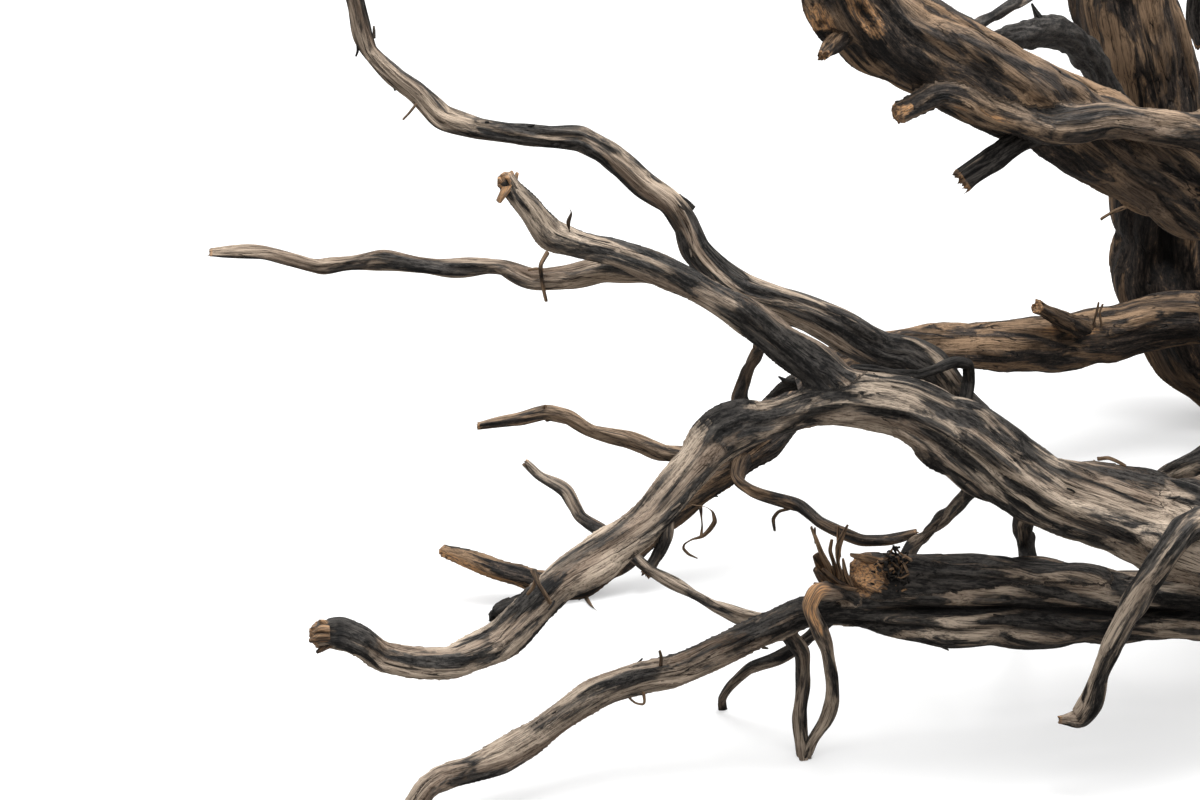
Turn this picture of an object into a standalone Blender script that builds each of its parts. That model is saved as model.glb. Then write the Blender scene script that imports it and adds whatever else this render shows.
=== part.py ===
"""A dry root: one tangled piece of bare and charred root wood, lying on the floor.

Every root is a tube along a hand-laid route of (x, y, z, radius) points in metres. The
roots grow out of one crown at +X and end at -X, where the thin tips are. They are united
into one closed solid, and the floor trims what would pass below it, so that the feet
stand flat. +Z is up, -Y is the front, and the base centre is at the world's origin.
"""
import bmesh
import bpy

NAME = "dry_root"
FLOOR = 0.0
CUTTER_SIZE = 2.4
CUTTER_DEPTH = 0.3
WELD = 0.00005
THICK_RADIUS = 0.020
THICK_BEVEL = 3
THIN_BEVEL = 2
WOOD_COLOUR = (0.22, 0.17, 0.13, 1.0)
WOOD_ROUGHNESS = 0.85

CROWN = {
    "trunk": [
        (0.435, -0.055, -0.030, 0.070), (0.430, -0.050, 0.040, 0.068),
        (0.395, -0.035, 0.130, 0.080), (0.345, -0.010, 0.210, 0.104),
        (0.335, 0.000, 0.280, 0.112), (0.370, 0.020, 0.340, 0.104),
        (0.430, 0.055, 0.395, 0.084), (0.500, 0.090, 0.445, 0.074),
        (0.570, 0.125, 0.495, 0.068), (0.605, 0.140, 0.520, 0.062),
    ],
    "right_front_root": [
        (0.360, -0.020, 0.280, 0.075), (0.415, -0.100, 0.235, 0.058),
        (0.460, -0.170, 0.190, 0.046), (0.505, -0.235, 0.140, 0.040),
        (0.550, -0.300, 0.080, 0.034), (0.585, -0.345, 0.036, 0.030),
        (0.615, -0.385, 0.018, 0.024), (0.635, -0.420, 0.014, 0.018),
        (0.645, -0.450, 0.012, 0.011),
    ],
    "right_rear_root": [
        (0.365, 0.020, 0.270, 0.070), (0.430, 0.095, 0.215, 0.052),
        (0.485, 0.160, 0.165, 0.042), (0.530, 0.225, 0.110, 0.034),
        (0.570, 0.285, 0.055, 0.029), (0.605, 0.335, 0.024, 0.026),
        (0.630, 0.375, 0.016, 0.020), (0.642, 0.410, 0.013, 0.014),
    ],
    "edge_root": [
        (0.350, 0.005, 0.340, 0.034), (0.300, 0.030, 0.435, 0.022),
        (0.245, 0.050, 0.515, 0.016), (0.190, 0.065, 0.560, 0.013),
        (0.145, 0.075, 0.550, 0.011), (0.124, 0.075, 0.515, 0.011),
        (0.123, 0.075, 0.483, 0.010), (0.130, 0.075, 0.460, 0.008),
    ],
}

FRONT_ROOTS = {
    "front_root": [
        (0.330, -0.005, 0.260, 0.066), (0.250, -0.105, 0.215, 0.048),
        (0.185, -0.190, 0.190, 0.041), (0.135, -0.245, 0.177, 0.039),
        (0.090, -0.275, 0.180, 0.036), (0.050, -0.280, 0.193, 0.031),
        (0.010, -0.285, 0.206, 0.028), (-0.027, -0.285, 0.217, 0.026),
        (-0.065, -0.285, 0.241, 0.026), (-0.103, -0.285, 0.268, 0.024),
        (-0.140, -0.285, 0.287, 0.021), (-0.178, -0.290, 0.294, 0.018),
        (-0.211, -0.295, 0.291, 0.014), (-0.233, -0.300, 0.285, 0.013),
        (-0.257, -0.305, 0.281, 0.016), (-0.276, -0.310, 0.273, 0.017),
        (-0.295, -0.325, 0.255, 0.015), (-0.328, -0.350, 0.223, 0.013),
        (-0.364, -0.375, 0.206, 0.015), (-0.391, -0.390, 0.193, 0.013),
        (-0.411, -0.405, 0.178, 0.012), (-0.435, -0.415, 0.157, 0.013),
        (-0.461, -0.425, 0.149, 0.012), (-0.491, -0.435, 0.153, 0.011),
        (-0.513, -0.440, 0.161, 0.010), (-0.528, -0.445, 0.175, 0.010),
        (-0.543, -0.445, 0.181, 0.0095), (-0.558, -0.445, 0.179, 0.0085),
    ],
    "upper_fork": [
        (-0.155, -0.285, 0.287, 0.014), (-0.181, -0.285, 0.301, 0.016),
        (-0.203, -0.285, 0.319, 0.015), (-0.230, -0.280, 0.338, 0.0125),
        (-0.258, -0.275, 0.359, 0.012), (-0.291, -0.265, 0.374, 0.0115),
        (-0.327, -0.260, 0.390, 0.0105), (-0.351, -0.255, 0.397, 0.009),
        (-0.377, -0.255, 0.403, 0.0085), (-0.395, -0.255, 0.410, 0.0105),
        (-0.411, -0.255, 0.431, 0.0085), (-0.424, -0.255, 0.447, 0.007),
        (-0.429, -0.255, 0.455, 0.0065),
    ],
    "side_root": [
        (-0.309, -0.255, 0.380, 0.009), (-0.331, -0.240, 0.378, 0.009),
        (-0.359, -0.225, 0.372, 0.0075), (-0.385, -0.215, 0.363, 0.008),
        (-0.410, -0.210, 0.360, 0.008), (-0.432, -0.205, 0.367, 0.007),
        (-0.476, -0.205, 0.367, 0.006), (-0.527, -0.205, 0.372, 0.006),
        (-0.569, -0.200, 0.367, 0.0055), (-0.608, -0.200, 0.377, 0.005),
        (-0.642, -0.200, 0.378, 0.004), (-0.650, -0.200, 0.378, 0.003),
    ],
    "arching_root": [
        (-0.070, -0.275, 0.248, 0.014), (-0.083, -0.250, 0.263, 0.015),
        (-0.095, -0.237, 0.275, 0.0135), (-0.117, -0.225, 0.296, 0.014),
        (-0.130, -0.220, 0.301, 0.015), (-0.148, -0.215, 0.303, 0.014),
        (-0.173, -0.210, 0.315, 0.014), (-0.202, -0.210, 0.331, 0.012),
        (-0.229, -0.210, 0.342, 0.0105), (-0.254, -0.205, 0.349, 0.010),
        (-0.275, -0.200, 0.363, 0.010), (-0.289, -0.195, 0.378, 0.010),
        (-0.297, -0.190, 0.396, 0.0095), (-0.308, -0.190, 0.412, 0.0095),
        (-0.327, -0.185, 0.425, 0.009), (-0.357, -0.180, 0.450, 0.0095),
        (-0.373, -0.175, 0.458, 0.0085), (-0.398, -0.175, 0.459, 0.008),
        (-0.426, -0.175, 0.462, 0.0075), (-0.453, -0.170, 0.465, 0.008),
        (-0.477, -0.170, 0.473, 0.009), (-0.495, -0.165, 0.490, 0.0075),
        (-0.513, -0.165, 0.505, 0.007), (-0.530, -0.160, 0.521, 0.007),
        (-0.541, -0.155, 0.559, 0.0065), (-0.546, -0.150, 0.580, 0.006),
        (-0.544, -0.145, 0.603, 0.005), (-0.549, -0.140, 0.621, 0.0035),
    ],
    "crossing_root": [
        (-0.184, -0.280, 0.305, 0.0035), (-0.175, -0.270, 0.312, 0.003),
        (-0.161, -0.270, 0.312, 0.003), (-0.143, -0.265, 0.306, 0.003),
        (-0.127, -0.260, 0.303, 0.0035), (-0.111, -0.255, 0.306, 0.0045),
        (-0.098, -0.250, 0.309, 0.0045), (-0.088, -0.245, 0.305, 0.0045),
        (-0.086, -0.245, 0.293, 0.004), (-0.088, -0.255, 0.276, 0.0035),
    ],
    "slab_stub": [
        (0.185, -0.190, 0.175, 0.030), (0.130, -0.205, 0.162, 0.023),
        (0.100, -0.175, 0.163, 0.017), (0.073, -0.155, 0.165, 0.0135),
        (0.044, -0.140, 0.168, 0.0095), (0.021, -0.135, 0.171, 0.007),
        (0.005, -0.135, 0.174, 0.004),
    ],
    "front_leg": [
        (0.092, -0.275, 0.188, 0.012), (0.077, -0.310, 0.204, 0.0105),
        (0.066, -0.325, 0.206, 0.010), (0.053, -0.335, 0.192, 0.0095),
        (0.039, -0.338, 0.171, 0.009), (0.027, -0.340, 0.146, 0.009),
        (0.016, -0.340, 0.120, 0.0075), (0.008, -0.340, 0.094, 0.007),
        (0.004, -0.340, 0.074, 0.008), (-0.005, -0.340, 0.060, 0.0065),
        (-0.019, -0.340, 0.059, 0.0025),
    ],
    "strut": [
        (-0.071, -0.277, 0.237, 0.009), (-0.083, -0.245, 0.202, 0.006),
        (-0.093, -0.205, 0.167, 0.005), (-0.104, -0.155, 0.127, 0.0045),
        (-0.115, -0.105, 0.085, 0.0045), (-0.131, -0.065, 0.041, 0.0045),
        (-0.144, -0.020, -0.006, 0.0045),
    ],
    "back_leg": [
        (-0.041, -0.277, 0.212, 0.0075), (-0.042, -0.255, 0.186, 0.007),
        (-0.037, -0.225, 0.156, 0.006), (-0.026, -0.175, 0.114, 0.006),
        (-0.016, -0.115, 0.069, 0.0055), (-0.008, -0.055, 0.025, 0.0055),
        (-0.004, -0.020, -0.006, 0.005),
    ],
}

LOW_ROOTS = {
    "low_root": [
        (0.335, -0.015, 0.235, 0.064), (0.285, -0.075, 0.170, 0.046),
        (0.225, -0.150, 0.118, 0.034), (0.165, -0.205, 0.100, 0.029),
        (0.101, -0.225, 0.098, 0.0275), (0.063, -0.225, 0.099, 0.0285),
        (0.023, -0.230, 0.101, 0.0285), (-0.016, -0.235, 0.106, 0.030),
        (-0.055, -0.240, 0.110, 0.0305), (-0.093, -0.245, 0.111, 0.0295),
        (-0.128, -0.250, 0.113, 0.026), (-0.157, -0.255, 0.112, 0.019),
        (-0.185, -0.260, 0.112, 0.0135), (-0.210, -0.265, 0.110, 0.013),
        (-0.239, -0.270, 0.098, 0.013), (-0.269, -0.280, 0.088, 0.012),
        (-0.303, -0.290, 0.075, 0.0115), (-0.335, -0.300, 0.072, 0.0115),
        (-0.365, -0.315, 0.067, 0.011), (-0.411, -0.340, 0.044, 0.011),
        (-0.434, -0.355, 0.036, 0.0105), (-0.456, -0.370, 0.034, 0.009),
        (-0.476, -0.380, 0.032, 0.0095), (-0.488, -0.395, 0.030, 0.010),
        (-0.500, -0.407, 0.016, 0.0095), (-0.510, -0.420, 0.004, 0.009),
        (-0.519, -0.440, 0.004, 0.0075), (-0.527, -0.460, 0.008, 0.0055),
    ],
    "whip_root": [
        (-0.220, -0.265, 0.106, 0.004), (-0.237, -0.245, 0.097, 0.004),
        (-0.249, -0.235, 0.094, 0.0045), (-0.270, -0.215, 0.094, 0.0045),
        (-0.291, -0.205, 0.101, 0.0045), (-0.322, -0.195, 0.115, 0.004),
        (-0.358, -0.175, 0.138, 0.0045), (-0.375, -0.160, 0.144, 0.0045),
        (-0.386, -0.145, 0.159, 0.0045), (-0.409, -0.130, 0.167, 0.004),
        (-0.419, -0.125, 0.175, 0.003),
    ],
    "curved_leg": [
        (-0.157, -0.261, 0.118, 0.006), (-0.179, -0.290, 0.146, 0.0065),
        (-0.198, -0.300, 0.153, 0.006), (-0.204, -0.303, 0.142, 0.0055),
        (-0.198, -0.301, 0.119, 0.0065), (-0.190, -0.298, 0.099, 0.0055),
        (-0.186, -0.295, 0.076, 0.0055), (-0.184, -0.290, 0.051, 0.005),
        (-0.189, -0.285, 0.028, 0.005), (-0.198, -0.285, 0.011, 0.0045),
        (-0.203, -0.285, -0.004, 0.004),
    ],
    "straight_leg": [
        (-0.222, -0.270, 0.101, 0.0055), (-0.208, -0.270, 0.080, 0.0055),
        (-0.206, -0.272, 0.060, 0.005), (-0.208, -0.275, 0.032, 0.005),
        (-0.206, -0.281, 0.010, 0.0045), (-0.204, -0.289, -0.004, 0.0045),
    ],
    "hooked_leg": [
        (-0.181, -0.259, 0.108, 0.0045), (-0.200, -0.245, 0.081, 0.004),
        (-0.223, -0.235, 0.058, 0.0045), (-0.242, -0.225, 0.045, 0.004),
        (-0.259, -0.215, 0.024, 0.004), (-0.265, -0.210, 0.010, 0.0035),
        (-0.264, -0.205, -0.004, 0.0035),
    ],
    "dark_leg": [
        (0.290, 0.000, 0.190, 0.030), (0.200, 0.025, 0.135, 0.018),
        (0.146, 0.055, 0.099, 0.0135), (0.129, 0.075, 0.080, 0.011),
        (0.112, 0.095, 0.056, 0.0095), (0.102, 0.105, 0.028, 0.008),
        (0.098, 0.112, -0.006, 0.0075),
    ],
}

REAR_ROOTS = {
    "rear_root": [
        (0.335, 0.030, 0.245, 0.060), (0.305, 0.135, 0.195, 0.038),
        (0.265, 0.245, 0.150, 0.029), (0.225, 0.310, 0.128, 0.026),
        (0.189, 0.335, 0.124, 0.0245), (0.147, 0.325, 0.125, 0.0245),
        (0.095, 0.305, 0.119, 0.0235), (0.044, 0.285, 0.119, 0.0235),
        (-0.007, 0.260, 0.126, 0.0225), (-0.035, 0.245, 0.132, 0.0215),
        (-0.068, 0.225, 0.137, 0.020), (-0.115, 0.195, 0.143, 0.0195),
        (-0.161, 0.155, 0.145, 0.018), (-0.194, 0.105, 0.136, 0.017),
        (-0.225, 0.065, 0.115, 0.017), (-0.252, 0.055, 0.096, 0.0155),
        (-0.284, 0.045, 0.076, 0.015), (-0.318, 0.030, 0.053, 0.0145),
        (-0.350, 0.015, 0.027, 0.0145), (-0.377, 0.003, 0.012, 0.0135),
        (-0.404, -0.003, 0.013, 0.012), (-0.427, -0.005, 0.021, 0.0105),
        (-0.448, -0.005, 0.027, 0.0085), (-0.470, -0.005, 0.036, 0.0065),
        (-0.492, -0.005, 0.044, 0.0035),
    ],
    "rear_foot": [
        (-0.393, -0.003, 0.009, 0.0085), (-0.414, -0.025, 0.009, 0.0085),
        (-0.433, -0.042, 0.008, 0.008), (-0.445, -0.053, 0.008, 0.0075),
    ],
    "rear_twig": [
        (-0.276, 0.050, 0.094, 0.0095), (-0.289, 0.045, 0.109, 0.0085),
        (-0.308, 0.040, 0.114, 0.008), (-0.339, 0.035, 0.129, 0.0065),
        (-0.367, 0.030, 0.139, 0.0055), (-0.386, 0.025, 0.152, 0.0055),
        (-0.404, 0.025, 0.156, 0.006), (-0.423, 0.025, 0.152, 0.005),
        (-0.461, 0.025, 0.145, 0.003),
    ],
    "drooping_twig": [
        (-0.231, 0.062, 0.112, 0.0065), (-0.243, 0.040, 0.103, 0.0065),
        (-0.245, 0.025, 0.096, 0.0055), (-0.235, 0.015, 0.091, 0.005),
        (-0.194, -0.005, 0.085, 0.005), (-0.179, -0.015, 0.075, 0.005),
        (-0.163, -0.020, 0.069, 0.005), (-0.144, -0.025, 0.064, 0.0045),
        (-0.121, -0.025, 0.064, 0.0045), (-0.099, -0.025, 0.069, 0.0035),
    ],
    "rising_twig": [
        (-0.229, 0.061, 0.115, 0.0075), (-0.245, 0.025, 0.168, 0.006),
        (-0.239, -0.005, 0.205, 0.0055), (-0.233, -0.035, 0.234, 0.005),
        (-0.228, -0.065, 0.264, 0.0045), (-0.222, -0.095, 0.291, 0.0035),
    ],
    "hanging_twig": [
        (-0.291, 0.040, 0.074, 0.005), (-0.303, 0.030, 0.063, 0.0045),
        (-0.305, 0.020, 0.046, 0.0045), (-0.313, 0.015, 0.027, 0.004),
        (-0.321, 0.010, 0.016, 0.004),
    ],
    "rear_trunk": [
        (0.345, 0.030, 0.250, 0.062), (0.345, 0.130, 0.150, 0.046),
        (0.335, 0.230, 0.080, 0.040), (0.305, 0.320, 0.045, 0.038),
        (0.265, 0.380, 0.034, 0.038), (0.211, 0.405, 0.061, 0.0395),
        (0.183, 0.410, 0.105, 0.044), (0.165, 0.410, 0.156, 0.0465),
        (0.158, 0.405, 0.209, 0.0435), (0.153, 0.395, 0.266, 0.041),
        (0.142, 0.385, 0.321, 0.0425), (0.124, 0.375, 0.376, 0.045),
        (0.108, 0.375, 0.422, 0.043), (0.101, 0.375, 0.454, 0.039),
        (0.094, 0.375, 0.490, 0.034), (0.088, 0.372, 0.530, 0.028),
    ],
    "broken_peg": [
        (0.085, 0.295, 0.125, 0.010), (0.062, 0.275, 0.141, 0.0085),
        (0.044, 0.260, 0.155, 0.0065), (0.028, 0.250, 0.167, 0.006),
    ],
}

TOP_ROOTS = {
    "top_root": [
        (0.340, 0.000, 0.290, 0.068), (0.285, -0.020, 0.315, 0.052),
        (0.225, -0.050, 0.345, 0.043), (0.160, -0.090, 0.374, 0.037),
        (0.098, -0.125, 0.400, 0.0345), (0.028, -0.165, 0.446, 0.0315),
        (-0.029, -0.195, 0.485, 0.0325), (-0.069, -0.215, 0.509, 0.0325),
        (-0.108, -0.235, 0.534, 0.033), (-0.135, -0.245, 0.550, 0.032),
        (-0.162, -0.260, 0.568, 0.031), (-0.188, -0.275, 0.601, 0.030),
        (-0.202, -0.285, 0.625, 0.021),
    ],
    "forward_root": [
        (0.285, -0.045, 0.330, 0.030), (0.225, -0.100, 0.392, 0.021),
        (0.150, -0.150, 0.445, 0.017), (0.084, -0.185, 0.467, 0.015),
        (0.037, -0.205, 0.478, 0.0145), (0.004, -0.225, 0.488, 0.014),
        (-0.016, -0.235, 0.487, 0.014), (-0.036, -0.240, 0.486, 0.0125),
        (-0.061, -0.250, 0.495, 0.0095), (-0.085, -0.260, 0.505, 0.0085),
        (-0.103, -0.270, 0.518, 0.008), (-0.118, -0.275, 0.523, 0.0075),
        (-0.134, -0.280, 0.518, 0.008), (-0.149, -0.285, 0.512, 0.008),
    ],
    "stub_root": [
        (-0.011, -0.195, 0.477, 0.011), (-0.040, -0.225, 0.479, 0.009),
        (-0.054, -0.230, 0.475, 0.009), (-0.074, -0.240, 0.464, 0.0085),
        (-0.097, -0.245, 0.449, 0.0085),
    ],
    "arch_root": [
        (-0.094, -0.225, 0.532, 0.0085), (-0.073, -0.145, 0.519, 0.009),
        (-0.053, -0.065, 0.502, 0.0085), (-0.022, 0.025, 0.482, 0.011),
        (0.001, 0.075, 0.470, 0.013), (0.028, 0.135, 0.447, 0.013),
        (0.053, 0.195, 0.414, 0.012), (0.075, 0.255, 0.375, 0.0115),
        (0.097, 0.305, 0.334, 0.0125), (0.142, 0.382, 0.261, 0.013),
    ],
    "thin_top_root": [
        (-0.098, -0.205, 0.535, 0.0045), (-0.083, -0.145, 0.535, 0.0035),
        (-0.063, -0.105, 0.533, 0.0045), (-0.045, -0.075, 0.533, 0.0045),
        (-0.028, -0.045, 0.533, 0.004), (-0.007, -0.025, 0.542, 0.004),
        (0.010, -0.005, 0.558, 0.003),
    ],
    "knot_peg": [
        (-0.182, -0.275, 0.572, 0.007), (-0.202, -0.315, 0.566, 0.005),
        (-0.206, -0.325, 0.565, 0.004),
    ],
}


def clear_scene() -> None:
    """Remove every object that the scene starts with."""
    for thing in list(bpy.data.objects):
        bpy.data.objects.remove(thing, do_unlink=True)


def new_collection(name: str) -> bpy.types.Collection:
    """Make a collection and link it to the scene."""
    collection = bpy.data.collections.new(name)
    bpy.context.scene.collection.children.link(collection)
    return collection


def wood() -> bpy.types.Material:
    """Make the material: dry, dull, grey-brown wood."""
    material = bpy.data.materials.new("dry_wood")
    material.use_nodes = True
    shader = material.node_tree.nodes["Principled BSDF"]
    shader.inputs["Base Color"].default_value = WOOD_COLOUR
    shader.inputs["Roughness"].default_value = WOOD_ROUGHNESS
    shader.inputs["Metallic"].default_value = 0.0
    return material


def root_curve(name: str, route: list) -> bpy.types.Object:
    """Lay a straight-segment curve along a route, as thick as the route's radii say."""
    curve = bpy.data.curves.new(name + "_route", "CURVE")
    curve.dimensions = "3D"
    curve.bevel_depth = 1.0
    thickest = max(point[3] for point in route)
    curve.bevel_resolution = THICK_BEVEL if thickest > THICK_RADIUS else THIN_BEVEL
    curve.use_fill_caps = True
    spline = curve.splines.new("POLY")
    spline.points.add(len(route) - 1)
    for point, (x, y, z, radius) in zip(spline.points, route):
        point.co = (x, y, z, 1.0)
        point.radius = radius
    return bpy.data.objects.new(name + "_route", curve)


def root_solid(name: str, route: list, target: bpy.types.Collection) -> bpy.types.Object:
    """Make a route's tube as a closed mesh object in the target collection."""
    curve_object = root_curve(name, route)
    target.objects.link(curve_object)
    graph = bpy.context.evaluated_depsgraph_get()
    evaluated = curve_object.evaluated_get(graph)
    mesh = bpy.data.meshes.new_from_object(evaluated)
    mesh.materials.clear()
    shape = bmesh.new()
    shape.from_mesh(mesh)
    bmesh.ops.remove_doubles(shape, verts=shape.verts, dist=WELD)
    bmesh.ops.recalc_face_normals(shape, faces=shape.faces)
    shape.to_mesh(mesh)
    shape.free()
    solid = bpy.data.objects.new(name, mesh)
    solid.matrix_world = curve_object.matrix_world
    target.objects.link(solid)
    curve = curve_object.data
    bpy.data.objects.remove(curve_object, do_unlink=True)
    bpy.data.curves.remove(curve)
    return solid


def floor_cutter(target: bpy.types.Collection) -> bpy.types.Object:
    """Make the block that trims everything below the floor."""
    bpy.ops.mesh.primitive_cube_add(size=1.0, location=(0.0, 0.0, FLOOR - CUTTER_DEPTH / 2.0))
    cutter = bpy.context.object
    cutter.name = "floor_cutter"
    cutter.scale = (CUTTER_SIZE, CUTTER_SIZE, CUTTER_DEPTH)
    for collection in list(cutter.users_collection):
        collection.objects.unlink(cutter)
    target.objects.link(cutter)
    return cutter


def add_boolean(body: bpy.types.Object, tool: bpy.types.Object, operation: str) -> None:
    """Add an exact Boolean to the body, and hide the tool."""
    boolean = body.modifiers.new(tool.name, "BOOLEAN")
    boolean.operation = operation
    boolean.solver = "EXACT"
    boolean.object = tool
    tool.hide_render = True
    tool.display_type = "WIRE"


def grow(limbs: bpy.types.Collection, parts: bpy.types.Collection) -> bpy.types.Object:
    """Unite the trunk and every root into one solid, and trim it at the floor."""
    routes = {**CROWN, **FRONT_ROOTS, **LOW_ROOTS, **REAR_ROOTS, **TOP_ROOTS}
    body = root_solid(NAME, routes.pop("trunk"), parts)
    for name, route in routes.items():
        add_boolean(body, root_solid(name, route, limbs), "UNION")
    add_boolean(body, floor_cutter(limbs), "DIFFERENCE")
    body.data.materials.append(wood())
    return body


def main() -> None:
    """Build the root."""
    clear_scene()
    parts = new_collection(NAME)
    limbs = new_collection("limbs")
    grow(limbs, parts)


main()
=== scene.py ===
"""Dry root: fused wood skins, swept thin roots, broken ends and hair roots.

Every root is a profile carried along a listed route. Thick roots that grow out of one
another are fused through a distance field, so that their forks have soft crotches. Thin
roots are swept grids that start inside their parent. All sizes are in metres.
"""
import logging
import math
from collections.abc import Sequence
from dataclasses import dataclass, field
from enum import Enum

import bpy
import numpy as np
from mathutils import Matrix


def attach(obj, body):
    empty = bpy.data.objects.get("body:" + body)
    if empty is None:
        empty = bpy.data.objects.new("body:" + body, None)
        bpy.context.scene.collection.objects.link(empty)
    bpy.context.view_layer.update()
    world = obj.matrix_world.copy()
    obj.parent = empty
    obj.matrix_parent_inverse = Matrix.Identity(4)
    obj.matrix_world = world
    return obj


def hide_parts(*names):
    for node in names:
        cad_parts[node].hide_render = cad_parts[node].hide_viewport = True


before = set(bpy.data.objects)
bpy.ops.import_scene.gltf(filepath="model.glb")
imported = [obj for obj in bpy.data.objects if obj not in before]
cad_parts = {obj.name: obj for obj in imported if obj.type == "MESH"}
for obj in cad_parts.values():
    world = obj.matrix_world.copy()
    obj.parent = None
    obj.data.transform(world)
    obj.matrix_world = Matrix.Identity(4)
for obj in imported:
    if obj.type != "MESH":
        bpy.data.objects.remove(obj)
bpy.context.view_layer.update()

LOG = logging.getLogger("dry_root")
BODY = "root"
NODE = "dry_root"
SLOT = "dry_wood"
FAR = 1.0
TURN = 2.0 * math.pi
TAUT = 0.72
FUSED_STEP = 0.004
SWEPT_STEP = 0.0016
FINE_STEP = 0.0012
FLUTE_SIZE = (0.040, 0.0042)
LUMP_SIZE = (0.009, 0.009)
RIPPLE_SIZE = (0.010, 0.0011)
OVAL_TURN_RUN = 0.06
VALLEY_SHADE = 0.55
SEARCH_BATCH = 8192
NO_TRIANGLES = np.zeros((0, 3), dtype=int)

Point = tuple[float, float, float]
Route = Sequence[tuple[float, float, float, float]]
Edge = tuple[float, float]

CROWN = {
    "trunk": [
        (0.435, -0.055, -0.030, 0.070), (0.430, -0.050, 0.040, 0.068),
        (0.395, -0.035, 0.130, 0.080), (0.345, -0.010, 0.210, 0.104),
        (0.335, 0.000, 0.280, 0.112), (0.370, 0.020, 0.340, 0.104),
        (0.430, 0.055, 0.395, 0.084), (0.500, 0.090, 0.445, 0.074),
        (0.570, 0.125, 0.495, 0.068), (0.605, 0.140, 0.520, 0.062),
    ],
    "right_front_root": [
        (0.360, -0.020, 0.280, 0.075), (0.415, -0.100, 0.235, 0.058),
        (0.460, -0.170, 0.190, 0.046), (0.505, -0.235, 0.140, 0.040),
        (0.550, -0.300, 0.080, 0.034), (0.585, -0.345, 0.036, 0.030),
        (0.615, -0.385, 0.018, 0.024), (0.635, -0.420, 0.014, 0.018),
        (0.645, -0.450, 0.012, 0.011),
    ],
    "right_rear_root": [
        (0.365, 0.020, 0.270, 0.070), (0.430, 0.095, 0.215, 0.052),
        (0.485, 0.160, 0.165, 0.042), (0.530, 0.225, 0.110, 0.034),
        (0.570, 0.285, 0.055, 0.029), (0.605, 0.335, 0.024, 0.026),
        (0.630, 0.375, 0.016, 0.020), (0.642, 0.410, 0.013, 0.014),
    ],
    "edge_root": [
        (0.350, 0.005, 0.340, 0.034), (0.300, 0.030, 0.435, 0.022),
        (0.245, 0.050, 0.515, 0.016), (0.190, 0.065, 0.560, 0.013),
        (0.145, 0.075, 0.550, 0.011), (0.124, 0.075, 0.515, 0.011),
        (0.123, 0.075, 0.483, 0.010), (0.130, 0.075, 0.460, 0.008),
    ],
}

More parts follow.
